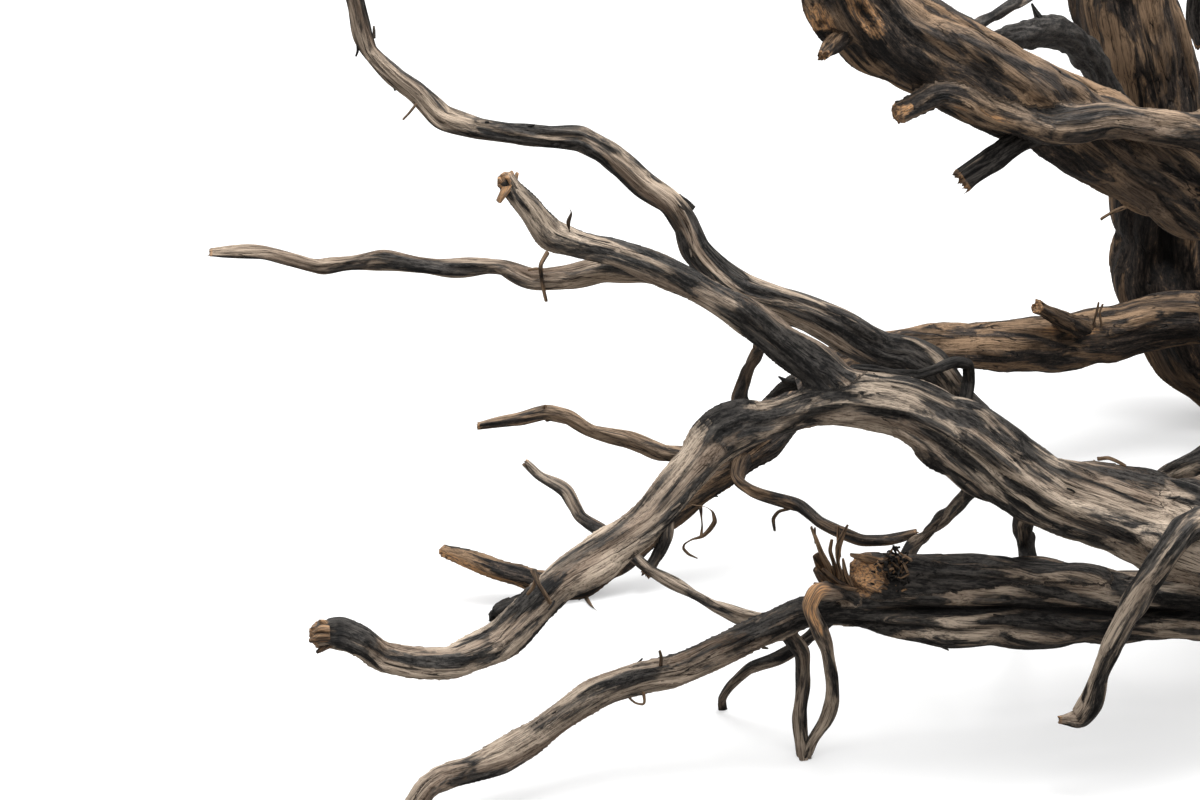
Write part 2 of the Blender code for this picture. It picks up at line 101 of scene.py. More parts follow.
FRONT_ROOTS = {
    "front_root": [
        (0.330, -0.005, 0.260, 0.066), (0.250, -0.105, 0.215, 0.048),
        (0.185, -0.190, 0.190, 0.041), (0.135, -0.245, 0.177, 0.039),
        (0.090, -0.275, 0.180, 0.036), (0.050, -0.280, 0.193, 0.031),
        (0.010, -0.285, 0.206, 0.028), (-0.027, -0.285, 0.217, 0.026),
        (-0.065, -0.285, 0.241, 0.026), (-0.103, -0.285, 0.268, 0.024),
        (-0.140, -0.285, 0.287, 0.021), (-0.178, -0.290, 0.294, 0.018),
        (-0.211, -0.295, 0.291, 0.014), (-0.233, -0.300, 0.285, 0.013),
        (-0.257, -0.305, 0.281, 0.016), (-0.276, -0.310, 0.273, 0.017),
        (-0.295, -0.325, 0.255, 0.015), (-0.328, -0.350, 0.223, 0.013),
        (-0.364, -0.375, 0.206, 0.015), (-0.391, -0.390, 0.193, 0.013),
        (-0.411, -0.405, 0.178, 0.012), (-0.435, -0.415, 0.157, 0.013),
        (-0.461, -0.425, 0.149, 0.012), (-0.491, -0.435, 0.153, 0.011),
        (-0.513, -0.440, 0.161, 0.010), (-0.528, -0.445, 0.175, 0.010),
        (-0.543, -0.445, 0.181, 0.0095), (-0.558, -0.445, 0.179, 0.0085),
    ],
    "upper_fork": [
        (-0.155, -0.285, 0.287, 0.014), (-0.181, -0.285, 0.301, 0.016),
        (-0.203, -0.285, 0.319, 0.015), (-0.230, -0.280, 0.338, 0.0125),
        (-0.258, -0.275, 0.359, 0.012), (-0.291, -0.265, 0.374, 0.0115),
        (-0.327, -0.260, 0.390, 0.0105), (-0.351, -0.255, 0.397, 0.009),
        (-0.377, -0.255, 0.403, 0.0085), (-0.395, -0.255, 0.410, 0.0105),
        (-0.411, -0.255, 0.431, 0.0085), (-0.424, -0.255, 0.447, 0.007),
        (-0.429, -0.255, 0.455, 0.0065),
    ],
    "side_root": [
        (-0.309, -0.255, 0.380, 0.009), (-0.331, -0.240, 0.378, 0.009),
        (-0.359, -0.225, 0.372, 0.0075), (-0.385, -0.215, 0.363, 0.008),
        (-0.410, -0.210, 0.360, 0.008), (-0.432, -0.205, 0.367, 0.007),
        (-0.476, -0.205, 0.367, 0.006), (-0.527, -0.205, 0.372, 0.006),
        (-0.569, -0.200, 0.367, 0.0055), (-0.608, -0.200, 0.377, 0.005),
        (-0.642, -0.200, 0.378, 0.004), (-0.650, -0.200, 0.378, 0.003),
    ],
    "arching_root": [
        (-0.070, -0.275, 0.248, 0.014), (-0.083, -0.250, 0.263, 0.015),
        (-0.095, -0.237, 0.275, 0.0135), (-0.117, -0.225, 0.296, 0.014),
        (-0.130, -0.220, 0.301, 0.015), (-0.148, -0.215, 0.303, 0.014),
        (-0.173, -0.210, 0.315, 0.014), (-0.202, -0.210, 0.331, 0.012),
        (-0.229, -0.210, 0.342, 0.0105), (-0.254, -0.205, 0.349, 0.010),
        (-0.275, -0.200, 0.363, 0.010), (-0.289, -0.195, 0.378, 0.010),
        (-0.297, -0.190, 0.396, 0.0095), (-0.308, -0.190, 0.412, 0.0095),
        (-0.327, -0.185, 0.425, 0.009), (-0.357, -0.180, 0.450, 0.0095),
        (-0.373, -0.175, 0.458, 0.0085), (-0.398, -0.175, 0.459, 0.008),
        (-0.426, -0.175, 0.462, 0.0075), (-0.453, -0.170, 0.465, 0.008),
        (-0.477, -0.170, 0.473, 0.009), (-0.495, -0.165, 0.490, 0.0075),
        (-0.513, -0.165, 0.505, 0.007), (-0.530, -0.160, 0.521, 0.007),
        (-0.541, -0.155, 0.559, 0.0065), (-0.546, -0.150, 0.580, 0.006),
        (-0.544, -0.145, 0.603, 0.005), (-0.549, -0.140, 0.621, 0.0035),
    ],
    "crossing_root": [
        (-0.184, -0.280, 0.305, 0.0035), (-0.175, -0.270, 0.312, 0.003),
        (-0.161, -0.270, 0.312, 0.003), (-0.143, -0.265, 0.306, 0.003),
        (-0.127, -0.260, 0.303, 0.0035), (-0.111, -0.255, 0.306, 0.0045),
        (-0.098, -0.250, 0.309, 0.0045), (-0.088, -0.245, 0.305, 0.0045),
        (-0.086, -0.245, 0.293, 0.004), (-0.088, -0.255, 0.276, 0.0035),
    ],
    "slab_stub": [
        (0.185, -0.190, 0.175, 0.030), (0.130, -0.205, 0.162, 0.023),
        (0.100, -0.175, 0.163, 0.017), (0.073, -0.155, 0.165, 0.0135),
        (0.044, -0.140, 0.168, 0.0095), (0.021, -0.135, 0.171, 0.007),
        (0.005, -0.135, 0.174, 0.004),
    ],
    "front_leg": [
        (0.092, -0.275, 0.188, 0.012), (0.077, -0.310, 0.204, 0.0105),
        (0.066, -0.325, 0.206, 0.010), (0.053, -0.335, 0.192, 0.0095),
        (0.039, -0.338, 0.171, 0.009), (0.027, -0.340, 0.146, 0.009),
        (0.016, -0.340, 0.120, 0.0075), (0.008, -0.340, 0.094, 0.007),
        (0.004, -0.340, 0.074, 0.008), (-0.005, -0.340, 0.060, 0.0065),
        (-0.019, -0.340, 0.059, 0.0025),
    ],
    "strut": [
        (-0.071, -0.277, 0.237, 0.009), (-0.083, -0.245, 0.202, 0.006),
        (-0.093, -0.205, 0.167, 0.005), (-0.104, -0.155, 0.127, 0.0045),
        (-0.115, -0.105, 0.085, 0.0045), (-0.131, -0.065, 0.041, 0.0045),
        (-0.144, -0.020, -0.006, 0.0045),
    ],
    "back_leg": [
        (-0.041, -0.277, 0.212, 0.0075), (-0.042, -0.255, 0.186, 0.007),
        (-0.037, -0.225, 0.156, 0.006), (-0.026, -0.175, 0.114, 0.006),
        (-0.016, -0.115, 0.069, 0.0055), (-0.008, -0.055, 0.025, 0.0055),
        (-0.004, -0.020, -0.006, 0.005),
    ],
}

LOW_ROOTS = {
    "low_root": [
        (0.335, -0.015, 0.235, 0.064), (0.285, -0.075, 0.170, 0.046),
        (0.225, -0.150, 0.118, 0.034), (0.165, -0.205, 0.100, 0.029),
        (0.101, -0.225, 0.098, 0.0275), (0.063, -0.225, 0.099, 0.0285),
        (0.023, -0.230, 0.101, 0.0285), (-0.016, -0.235, 0.106, 0.030),
        (-0.055, -0.240, 0.110, 0.0305), (-0.093, -0.245, 0.111, 0.0295),
        (-0.128, -0.250, 0.113, 0.026), (-0.157, -0.255, 0.112, 0.019),
        (-0.185, -0.260, 0.112, 0.0135), (-0.210, -0.265, 0.110, 0.013),
        (-0.239, -0.270, 0.098, 0.013), (-0.269, -0.280, 0.088, 0.012),
        (-0.303, -0.290, 0.075, 0.0115), (-0.335, -0.300, 0.072, 0.0115),
        (-0.365, -0.315, 0.067, 0.011), (-0.411, -0.340, 0.044, 0.011),
        (-0.434, -0.355, 0.036, 0.0105), (-0.456, -0.370, 0.034, 0.009),
        (-0.476, -0.380, 0.032, 0.0095), (-0.488, -0.395, 0.030, 0.010),
        (-0.500, -0.407, 0.016, 0.0095), (-0.510, -0.420, 0.004, 0.009),
        (-0.519, -0.440, 0.004, 0.0075), (-0.527, -0.460, 0.008, 0.0055),
    ],
    "whip_root": [
        (-0.220, -0.265, 0.106, 0.004), (-0.237, -0.245, 0.097, 0.004),
        (-0.249, -0.235, 0.094, 0.0045), (-0.270, -0.215, 0.094, 0.0045),
        (-0.291, -0.205, 0.101, 0.0045), (-0.322, -0.195, 0.115, 0.004),
        (-0.358, -0.175, 0.138, 0.0045), (-0.375, -0.160, 0.144, 0.0045),
        (-0.386, -0.145, 0.159, 0.0045), (-0.409, -0.130, 0.167, 0.004),
        (-0.419, -0.125, 0.175, 0.003),
    ],
    "curved_leg": [
        (-0.160, -0.262, 0.116, 0.006), (-0.180, -0.272, 0.131, 0.0060),
        (-0.191, -0.291, 0.141, 0.0060), (-0.201, -0.301, 0.144, 0.0055),
        (-0.204, -0.303, 0.137, 0.0055), (-0.198, -0.301, 0.119, 0.0065), (-0.190, -0.298, 0.099, 0.0055),
        (-0.186, -0.295, 0.076, 0.0055), (-0.184, -0.290, 0.051, 0.005),
        (-0.189, -0.285, 0.028, 0.005), (-0.198, -0.285, 0.011, 0.0045),
        (-0.203, -0.285, -0.004, 0.004),
    ],
    "straight_leg": [
        (-0.222, -0.270, 0.101, 0.0055), (-0.208, -0.270, 0.080, 0.0055),
        (-0.206, -0.272, 0.060, 0.005), (-0.208, -0.275, 0.032, 0.005),
        (-0.206, -0.281, 0.010, 0.0045), (-0.204, -0.289, -0.004, 0.0045),
    ],
    "hooked_leg": [
        (-0.181, -0.259, 0.108, 0.0045), (-0.200, -0.245, 0.081, 0.004),
        (-0.223, -0.235, 0.058, 0.0045), (-0.242, -0.225, 0.045, 0.004),
        (-0.259, -0.215, 0.024, 0.004), (-0.265, -0.210, 0.010, 0.0035),
        (-0.264, -0.205, -0.004, 0.0035),
    ],
    "dark_leg": [
        (0.290, 0.000, 0.190, 0.030), (0.200, 0.025, 0.135, 0.018),
        (0.146, 0.055, 0.099, 0.0135), (0.129, 0.075, 0.080, 0.011),
        (0.112, 0.095, 0.056, 0.0095), (0.102, 0.105, 0.028, 0.008),
        (0.098, 0.112, -0.006, 0.0075),
    ],
}

REAR_ROOTS = {
    "rear_root": [
        (0.335, 0.030, 0.245, 0.060), (0.305, 0.135, 0.195, 0.038),
        (0.265, 0.245, 0.150, 0.029), (0.225, 0.310, 0.128, 0.026),
        (0.189, 0.335, 0.124, 0.0245), (0.147, 0.325, 0.125, 0.0245),
        (0.095, 0.305, 0.119, 0.0235), (0.044, 0.285, 0.119, 0.0235),
        (-0.007, 0.260, 0.126, 0.0225), (-0.035, 0.245, 0.132, 0.0215),
        (-0.068, 0.225, 0.137, 0.020), (-0.115, 0.195, 0.143, 0.0195),
        (-0.161, 0.155, 0.145, 0.018), (-0.194, 0.105, 0.136, 0.017),
        (-0.225, 0.065, 0.115, 0.017), (-0.252, 0.055, 0.096, 0.0155),
        (-0.284, 0.045, 0.076, 0.015), (-0.318, 0.030, 0.053, 0.0145),
        (-0.350, 0.015, 0.027, 0.0145), (-0.377, 0.003, 0.012, 0.0135),
        (-0.404, -0.003, 0.013, 0.012), (-0.427, -0.005, 0.021, 0.0105),
        (-0.448, -0.005, 0.027, 0.0102), (-0.47, -0.005, 0.036, 0.0085),
        (-0.492, -0.005, 0.044, 0.0055),
    ],
    "rear_foot": [
        (-0.393, -0.003, 0.009, 0.0085), (-0.414, -0.025, 0.009, 0.0085),
        (-0.433, -0.042, 0.008, 0.008), (-0.445, -0.053, 0.008, 0.0075),
    ],
    "rear_twig": [
        (-0.276, 0.050, 0.094, 0.0095), (-0.289, 0.045, 0.109, 0.0085),
        (-0.308, 0.040, 0.114, 0.008), (-0.339, 0.035, 0.129, 0.0065),
        (-0.367, 0.030, 0.139, 0.0055), (-0.386, 0.025, 0.152, 0.0055),
        (-0.404, 0.025, 0.156, 0.006), (-0.423, 0.025, 0.152, 0.005),
        (-0.461, 0.025, 0.145, 0.003),
    ],
    "drooping_twig": [
        (-0.231, 0.062, 0.112, 0.0065), (-0.243, 0.040, 0.103, 0.0065),
        (-0.245, 0.025, 0.096, 0.0055), (-0.235, 0.015, 0.091, 0.005),
        (-0.194, -0.005, 0.085, 0.005), (-0.179, -0.015, 0.075, 0.005),
        (-0.163, -0.020, 0.069, 0.005), (-0.144, -0.025, 0.064, 0.0045),
        (-0.121, -0.025, 0.064, 0.0045), (-0.099, -0.025, 0.069, 0.0035),
    ],
    "rising_twig": [
        (-0.229, 0.061, 0.115, 0.0075), (-0.245, 0.025, 0.168, 0.006),
        (-0.239, -0.005, 0.205, 0.0055), (-0.233, -0.035, 0.234, 0.005),
        (-0.228, -0.065, 0.264, 0.0045), (-0.222, -0.095, 0.291, 0.0035),
    ],
    "hanging_twig": [
        (-0.291, 0.040, 0.074, 0.005), (-0.303, 0.030, 0.063, 0.0045),
        (-0.305, 0.020, 0.046, 0.0045), (-0.313, 0.015, 0.027, 0.004),
        (-0.321, 0.010, 0.016, 0.004),
    ],
    "rear_trunk": [
        (0.345, 0.030, 0.250, 0.062), (0.345, 0.130, 0.150, 0.046),
        (0.335, 0.230, 0.080, 0.040), (0.305, 0.320, 0.045, 0.038),
        (0.265, 0.380, 0.034, 0.038), (0.211, 0.405, 0.061, 0.0395),
        (0.183, 0.410, 0.105, 0.044), (0.165, 0.410, 0.156, 0.0465),
        (0.158, 0.405, 0.209, 0.0435), (0.153, 0.395, 0.266, 0.041),
        (0.142, 0.385, 0.321, 0.0425), (0.124, 0.375, 0.376, 0.045),
        (0.108, 0.375, 0.422, 0.043), (0.101, 0.375, 0.454, 0.039),
        (0.094, 0.375, 0.490, 0.034), (0.088, 0.372, 0.530, 0.028),
    ],
    "broken_peg": [
        (0.085, 0.295, 0.125, 0.010), (0.062, 0.275, 0.141, 0.0085),
        (0.044, 0.260, 0.155, 0.0065), (0.028, 0.250, 0.167, 0.006),
    ],
}

TOP_ROOTS = {
    "top_root": [
        (0.340, 0.000, 0.290, 0.068), (0.285, -0.020, 0.315, 0.052),
        (0.225, -0.050, 0.345, 0.043), (0.160, -0.090, 0.374, 0.037),
        (0.098, -0.125, 0.400, 0.0345), (0.028, -0.165, 0.446, 0.0315),
        (-0.029, -0.195, 0.485, 0.0325), (-0.069, -0.215, 0.509, 0.0325),
        (-0.108, -0.235, 0.534, 0.033), (-0.135, -0.245, 0.550, 0.032),
        (-0.162, -0.260, 0.568, 0.031), (-0.188, -0.275, 0.601, 0.030),
        (-0.202, -0.285, 0.625, 0.021),
    ],
    "forward_root": [
        (0.285, -0.045, 0.330, 0.030), (0.225, -0.100, 0.392, 0.021),
        (0.150, -0.150, 0.445, 0.017), (0.084, -0.185, 0.467, 0.015),
        (0.037, -0.205, 0.478, 0.0145), (0.004, -0.225, 0.488, 0.014),
        (-0.016, -0.235, 0.487, 0.014), (-0.036, -0.240, 0.486, 0.0125),
        (-0.061, -0.250, 0.495, 0.0095), (-0.085, -0.260, 0.505, 0.0085),
        (-0.103, -0.270, 0.518, 0.008), (-0.118, -0.275, 0.523, 0.0075),
        (-0.134, -0.280, 0.518, 0.008), (-0.149, -0.285, 0.512, 0.008),
    ],
    "stub_root": [
        (-0.011, -0.195, 0.477, 0.011), (-0.040, -0.225, 0.479, 0.009),
        (-0.054, -0.230, 0.475, 0.009), (-0.074, -0.240, 0.464, 0.0085),
        (-0.097, -0.245, 0.449, 0.0085),
    ],
    "arch_root": [
        (-0.094, -0.225, 0.532, 0.0085), (-0.073, -0.145, 0.519, 0.009),
        (-0.053, -0.065, 0.502, 0.0085), (-0.022, 0.025, 0.482, 0.011),
        (0.001, 0.075, 0.470, 0.013), (0.028, 0.135, 0.447, 0.013),
        (0.053, 0.195, 0.414, 0.012), (0.075, 0.255, 0.375, 0.0115),
        (0.097, 0.305, 0.334, 0.0125), (0.142, 0.382, 0.261, 0.013),
    ],
    "thin_top_root": [
        (-0.098, -0.205, 0.535, 0.0045), (-0.083, -0.145, 0.535, 0.0035),
        (-0.063, -0.105, 0.533, 0.0045), (-0.045, -0.075, 0.533, 0.0045),
        (-0.028, -0.045, 0.533, 0.004), (-0.007, -0.025, 0.542, 0.004),
        (0.010, -0.005, 0.558, 0.003),
    ],
    "knot_peg": [
        (-0.182, -0.275, 0.572, 0.007), (-0.202, -0.315, 0.566, 0.005),
        (-0.206, -0.325, 0.565, 0.004),
    ],
}


HAIR_ROOTS = {
    "arch_hair": [(-0.496, -0.176, 0.486, 0.0007), (-0.502, -0.179, 0.479, 0.0006), (-0.506, -0.180, 0.475, 0.0004)],
    "side_hair": [
        (-0.398, -0.213, 0.381, 0.0017), (-0.403, -0.222, 0.375, 0.0015), (-0.402, -0.222, 0.362, 0.0012),
        (-0.399, -0.220, 0.347, 0.0010),
    ],
    "side_spur": [(-0.402, -0.221, 0.371, 0.0009), (-0.407, -0.221, 0.372, 0.0007), (-0.413, -0.221, 0.371, 0.0005)],
    "fork_hair": [
        (-0.382, -0.258, 0.412, 0.0006), (-0.383, -0.262, 0.423, 0.0006), (-0.381, -0.262, 0.430, 0.0005),
        (-0.384, -0.262, 0.435, 0.0005), (-0.387, -0.262, 0.434, 0.0005),
    ],
    "hook_hair": [
        (-0.339, -0.303, 0.068, 0.0010), (-0.337, -0.306, 0.061, 0.0009), (-0.333, -0.306, 0.057, 0.0009),
        (-0.328, -0.306, 0.056, 0.0008), (-0.328, -0.306, 0.065, 0.0007),
    ],
    "low_peg": [(-0.314, -0.297, 0.084, 0.0010), (-0.314, -0.300, 0.093, 0.0008), (-0.315, -0.300, 0.097, 0.0005)],
    "floor_hair": [
        (-0.374, 0.018, 0.006, 0.0009), (-0.372, -0.001, 0.002, 0.0008), (-0.367, -0.020, 0.0015, 0.0007),
        (-0.360, -0.036, 0.0015, 0.0006),
    ],
    "long_curl": [
        (-0.289, 0.036, 0.070, 0.0012), (-0.281, 0.028, 0.072, 0.0012), (-0.272, 0.026, 0.071, 0.0011),
        (-0.265, 0.030, 0.064, 0.0011), (-0.263, 0.030, 0.056, 0.0011), (-0.267, 0.032, 0.048, 0.0010),
        (-0.274, 0.030, 0.042, 0.0010), (-0.283, 0.030, 0.039, 0.0010), (-0.289, 0.028, 0.036, 0.0009),
        (-0.290, 0.030, 0.031, 0.0009), (-0.286, 0.030, 0.026, 0.0009), (-0.278, 0.030, 0.022, 0.0007),
    ],
    "short_curl": [
        (-0.276, 0.027, 0.071, 0.0011), (-0.275, 0.030, 0.062, 0.0010), (-0.274, 0.030, 0.052, 0.0009),
        (-0.275, 0.030, 0.042, 0.0008),
    ],
    "twiglet": [
        (-0.196, -0.002, 0.083, 0.0014), (-0.204, -0.004, 0.081, 0.0013), (-0.211, -0.004, 0.079, 0.0012),
        (-0.215, -0.003, 0.073, 0.0011), (-0.214, -0.002, 0.062, 0.0009),
    ],
    "slab_twig": [(0.026, -0.158, 0.193, 0.0013), (0.033, -0.165, 0.197, 0.0011), (0.047, -0.165, 0.190, 0.0008)],
    "rear_hair": [(0.081, 0.268, 0.142, 0.0009), (0.083, 0.262, 0.160, 0.0007), (0.084, 0.262, 0.166, 0.0005)],
    "rear_hair_two": [(0.090, 0.266, 0.142, 0.0009), (0.087, 0.262, 0.158, 0.0007), (0.089, 0.262, 0.164, 0.0005)],
    "trunk_twig": [(0.124, 0.366, 0.222, 0.0018), (0.107, 0.360, 0.216, 0.0014), (0.098, 0.360, 0.210, 0.0010)],
    "rear_spike": [(-0.401, 0.024, 0.151, 0.0026), (-0.404, 0.022, 0.160, 0.0019), (-0.405, 0.022, 0.164, 0.0012)],
    "scar_splinter": [
        (-0.408, -0.406, 0.212, 0.0022), (-0.404, -0.413, 0.204, 0.0019), (-0.400, -0.413, 0.197, 0.0016),
        (-0.396, -0.411, 0.189, 0.0012),
    ],
    "scar_splinter_two": [
        (-0.404, -0.404, 0.207, 0.0014), (-0.408, -0.409, 0.199, 0.0011),
        (-0.411, -0.409, 0.195, 0.0008),
    ],
    "end_hair": [(-0.447, -0.008, 0.027, 0.0007), (-0.434, -0.010, 0.029, 0.0006), (-0.418, -0.010, 0.027, 0.0005)],
}

TORN_STRANDS = {
    "outer": [
        (-0.182, -0.260, 0.132, 0.0031), (-0.186, -0.263, 0.147, 0.0027), (-0.193, -0.266, 0.162, 0.0022),
        (-0.198, -0.268, 0.175, 0.0016), (-0.202, -0.268, 0.184, 0.0006),
    ],
    "outer_fork": [(-0.198, -0.268, 0.171, 0.0013), (-0.199, -0.268, 0.178, 0.0011), (-0.199, -0.268, 0.183, 0.0006)],
    "middle": [
        (-0.180, -0.262, 0.135, 0.0019), (-0.184, -0.266, 0.154, 0.0014), (-0.187, -0.268, 0.165, 0.0011),
        (-0.186, -0.268, 0.173, 0.0008),
    ],
    "tall": [
        (-0.172, -0.264, 0.128, 0.0028), (-0.178, -0.269, 0.142, 0.0024), (-0.182, -0.272, 0.158, 0.0020),
        (-0.182, -0.273, 0.170, 0.0016), (-0.179, -0.273, 0.179, 0.0011), (-0.175, -0.272, 0.187, 0.0006),
    ],
    "tall_fork": [(-0.181, -0.270, 0.160, 0.0016), (-0.182, -0.266, 0.173, 0.0015), (-0.182, -0.264, 0.182, 0.0011)],
    "low_left": [(-0.170, -0.268, 0.132, 0.0023), (-0.183, -0.275, 0.143, 0.0018), (-0.193, -0.276, 0.153, 0.0009)],
    "lowest": [(-0.168, -0.268, 0.131, 0.0022), (-0.186, -0.276, 0.138, 0.0016), (-0.199, -0.274, 0.140, 0.0009)],
    "near_face": [(-0.170, -0.266, 0.134, 0.0020), (-0.176, -0.271, 0.148, 0.0015), (-0.178, -0.271, 0.159, 0.0008)],
    "mass": [(-0.172, -0.259, 0.122, 0.0060), (-0.187, -0.262, 0.132, 0.0052), (-0.197, -0.263, 0.146, 0.0026)],
    "back_mass": [(-0.172, -0.254, 0.126, 0.0060), (-0.188, -0.256, 0.142, 0.0050), (-0.196, -0.258, 0.156, 0.0024)],
    "top_chip": [(-0.146, -0.258, 0.150, 0.0045), (-0.158, -0.261, 0.155, 0.0034), (-0.171, -0.262, 0.159, 0.0012)],
    "top_fringe": [(-0.148, -0.262, 0.150, 0.0014), (-0.144, -0.263, 0.158, 0.0009), (-0.140, -0.263, 0.164, 0.0006)],
}

FORK_BRUSH = {
    "peg": [(-0.426, -0.258, 0.450, 0.0026), (-0.430, -0.262, 0.444, 0.0020), (-0.433, -0.262, 0.439, 0.0013)],
    "one": [(-0.425, -0.258, 0.447, 0.0014), (-0.433, -0.260, 0.451, 0.0009)],
    "two": [(-0.426, -0.258, 0.449, 0.0013), (-0.433, -0.259, 0.455, 0.0009)],
    "three": [(-0.426, -0.257, 0.450, 0.0013), (-0.430, -0.258, 0.458, 0.0009)],
    "four": [(-0.425, -0.256, 0.450, 0.0013), (-0.427, -0.257, 0.458, 0.0009)],
    "five": [(-0.423, -0.257, 0.450, 0.0013), (-0.424, -0.256, 0.459, 0.0009)],
    "six": [(-0.422, -0.255, 0.449, 0.0013), (-0.420, -0.253, 0.457, 0.0009)],
    "seven": [(-0.424, -0.260, 0.449, 0.0013), (-0.426, -0.263, 0.456, 0.0009)],
    "eight": [(-0.424, -0.252, 0.449, 0.0013), (-0.428, -0.250, 0.455, 0.0009)],
}

ROOT_SPURS = {
    "fork_spike": [
        (-0.216, -0.272, 0.301, 0.0045), (-0.226, -0.272, 0.298, 0.0036), (-0.232, -0.272, 0.293, 0.0022),
        (-0.237, -0.272, 0.290, 0.0006),
    ],
    "fork_spike_top": [
        (-0.218, -0.272, 0.301, 0.0030), (-0.225, -0.272, 0.303, 0.0022),
        (-0.229, -0.272, 0.306, 0.0006),
    ],
    "arch_knob": [
        (-0.104, -0.284, 0.258, 0.0060), (-0.111, -0.284, 0.252, 0.0046), (-0.115, -0.284, 0.248, 0.0030),
        (-0.118, -0.284, 0.246, 0.0008),
    ],
    "arch_knob_low": [
        (-0.107, -0.284, 0.253, 0.0030), (-0.112, -0.284, 0.245, 0.0018),
        (-0.114, -0.284, 0.241, 0.0006),
    ],
    "arch_knob_side": [
        (-0.101, -0.284, 0.252, 0.0026), (-0.106, -0.284, 0.243, 0.0016),
        (-0.107, -0.284, 0.238, 0.0005),
    ],
    "arch_spur": [(-0.085, -0.276, 0.234, 0.0030), (-0.092, -0.276, 0.227, 0.0020), (-0.095, -0.276, 0.222, 0.0006)],
    "low_spur": [(-0.102, -0.236, 0.078, 0.0030), (-0.098, -0.236, 0.070, 0.0020), (-0.092, -0.236, 0.066, 0.0006)],
    "arching_bump": [
        (-0.290, -0.182, 0.406, 0.0030), (-0.296, -0.182, 0.413, 0.0018),
        (-0.300, -0.182, 0.417, 0.0008),
    ],
    "arching_strand": [
        (-0.305, -0.188, 0.397, 0.0022), (-0.299, -0.188, 0.381, 0.0017), (-0.293, -0.188, 0.366, 0.0015),
        (-0.286, -0.188, 0.353, 0.0012),
    ],
    "arch_spike": [(-0.006, 0.060, 0.480, 0.0040), (-0.010, 0.060, 0.488, 0.0026), (-0.014, 0.060, 0.496, 0.0007)],
}

TIP_CHIPS = {
    "upper": [(-0.549, -0.451, 0.188, 0.0030), (-0.555, -0.452, 0.189, 0.0024), (-0.560, -0.452, 0.186, 0.0011)],
    "middle": [(-0.549, -0.453, 0.183, 0.0034), (-0.556, -0.455, 0.183, 0.0028), (-0.562, -0.456, 0.181, 0.0012)],
    "lower": [(-0.549, -0.451, 0.177, 0.0030), (-0.554, -0.452, 0.174, 0.0022), (-0.558, -0.452, 0.171, 0.0010)],
    "far": [(-0.549, -0.447, 0.187, 0.0028), (-0.553, -0.446, 0.191, 0.0020), (-0.556, -0.446, 0.192, 0.0009)],
}

class Tip(Enum):
    """How a root ends."""

    ROUNDED = "rounded"
    BROKEN = "broken"


@dataclass(frozen=True)
class Mark:
    """A local dent (positive depth) or swelling (negative depth) in a root's skin.

    Fields: at is the nearest point in space; length runs along the root and width around
    it; depth is in metres; dark is how near-black the place is painted, which in a dent
    such as a crack, pit or hollow is painted shade; heart is how freshly broken it looks;
    char shifts how charred it is; steep is how sharply it ends along the root.
    """

    at: Point
    length: float
    width: float
    depth: float = 0.0
    dark: float = 0.0
    heart: float = 0.0
    char: float = 0.0
    steep: float = 2.0


@dataclass(frozen=True)
class Look:
    """A root's surface: char is how much of it is charred, brown how warm its bare wood is.

    oval, flute and lump are shares of the radius; ripple is in metres; twist is how far the
    flutes turn, in radians a metre. heart is how freshly torn it is all over, tip_heart at
    its broken tip, and dark how much near-black is mixed in all over it. broad spreads its
    pattern, for thick wood.
    """

    char: float
    brown: float
    oval: float = 0.08
    flute: float = 0.09
    lump: float = 0.045
    ripple: float = 0.0008
    twist: float = 3.0
    heart: float = 0.0
    dark: float = 0.0
    tip_heart: float = 0.45
    broad: float = 1.0


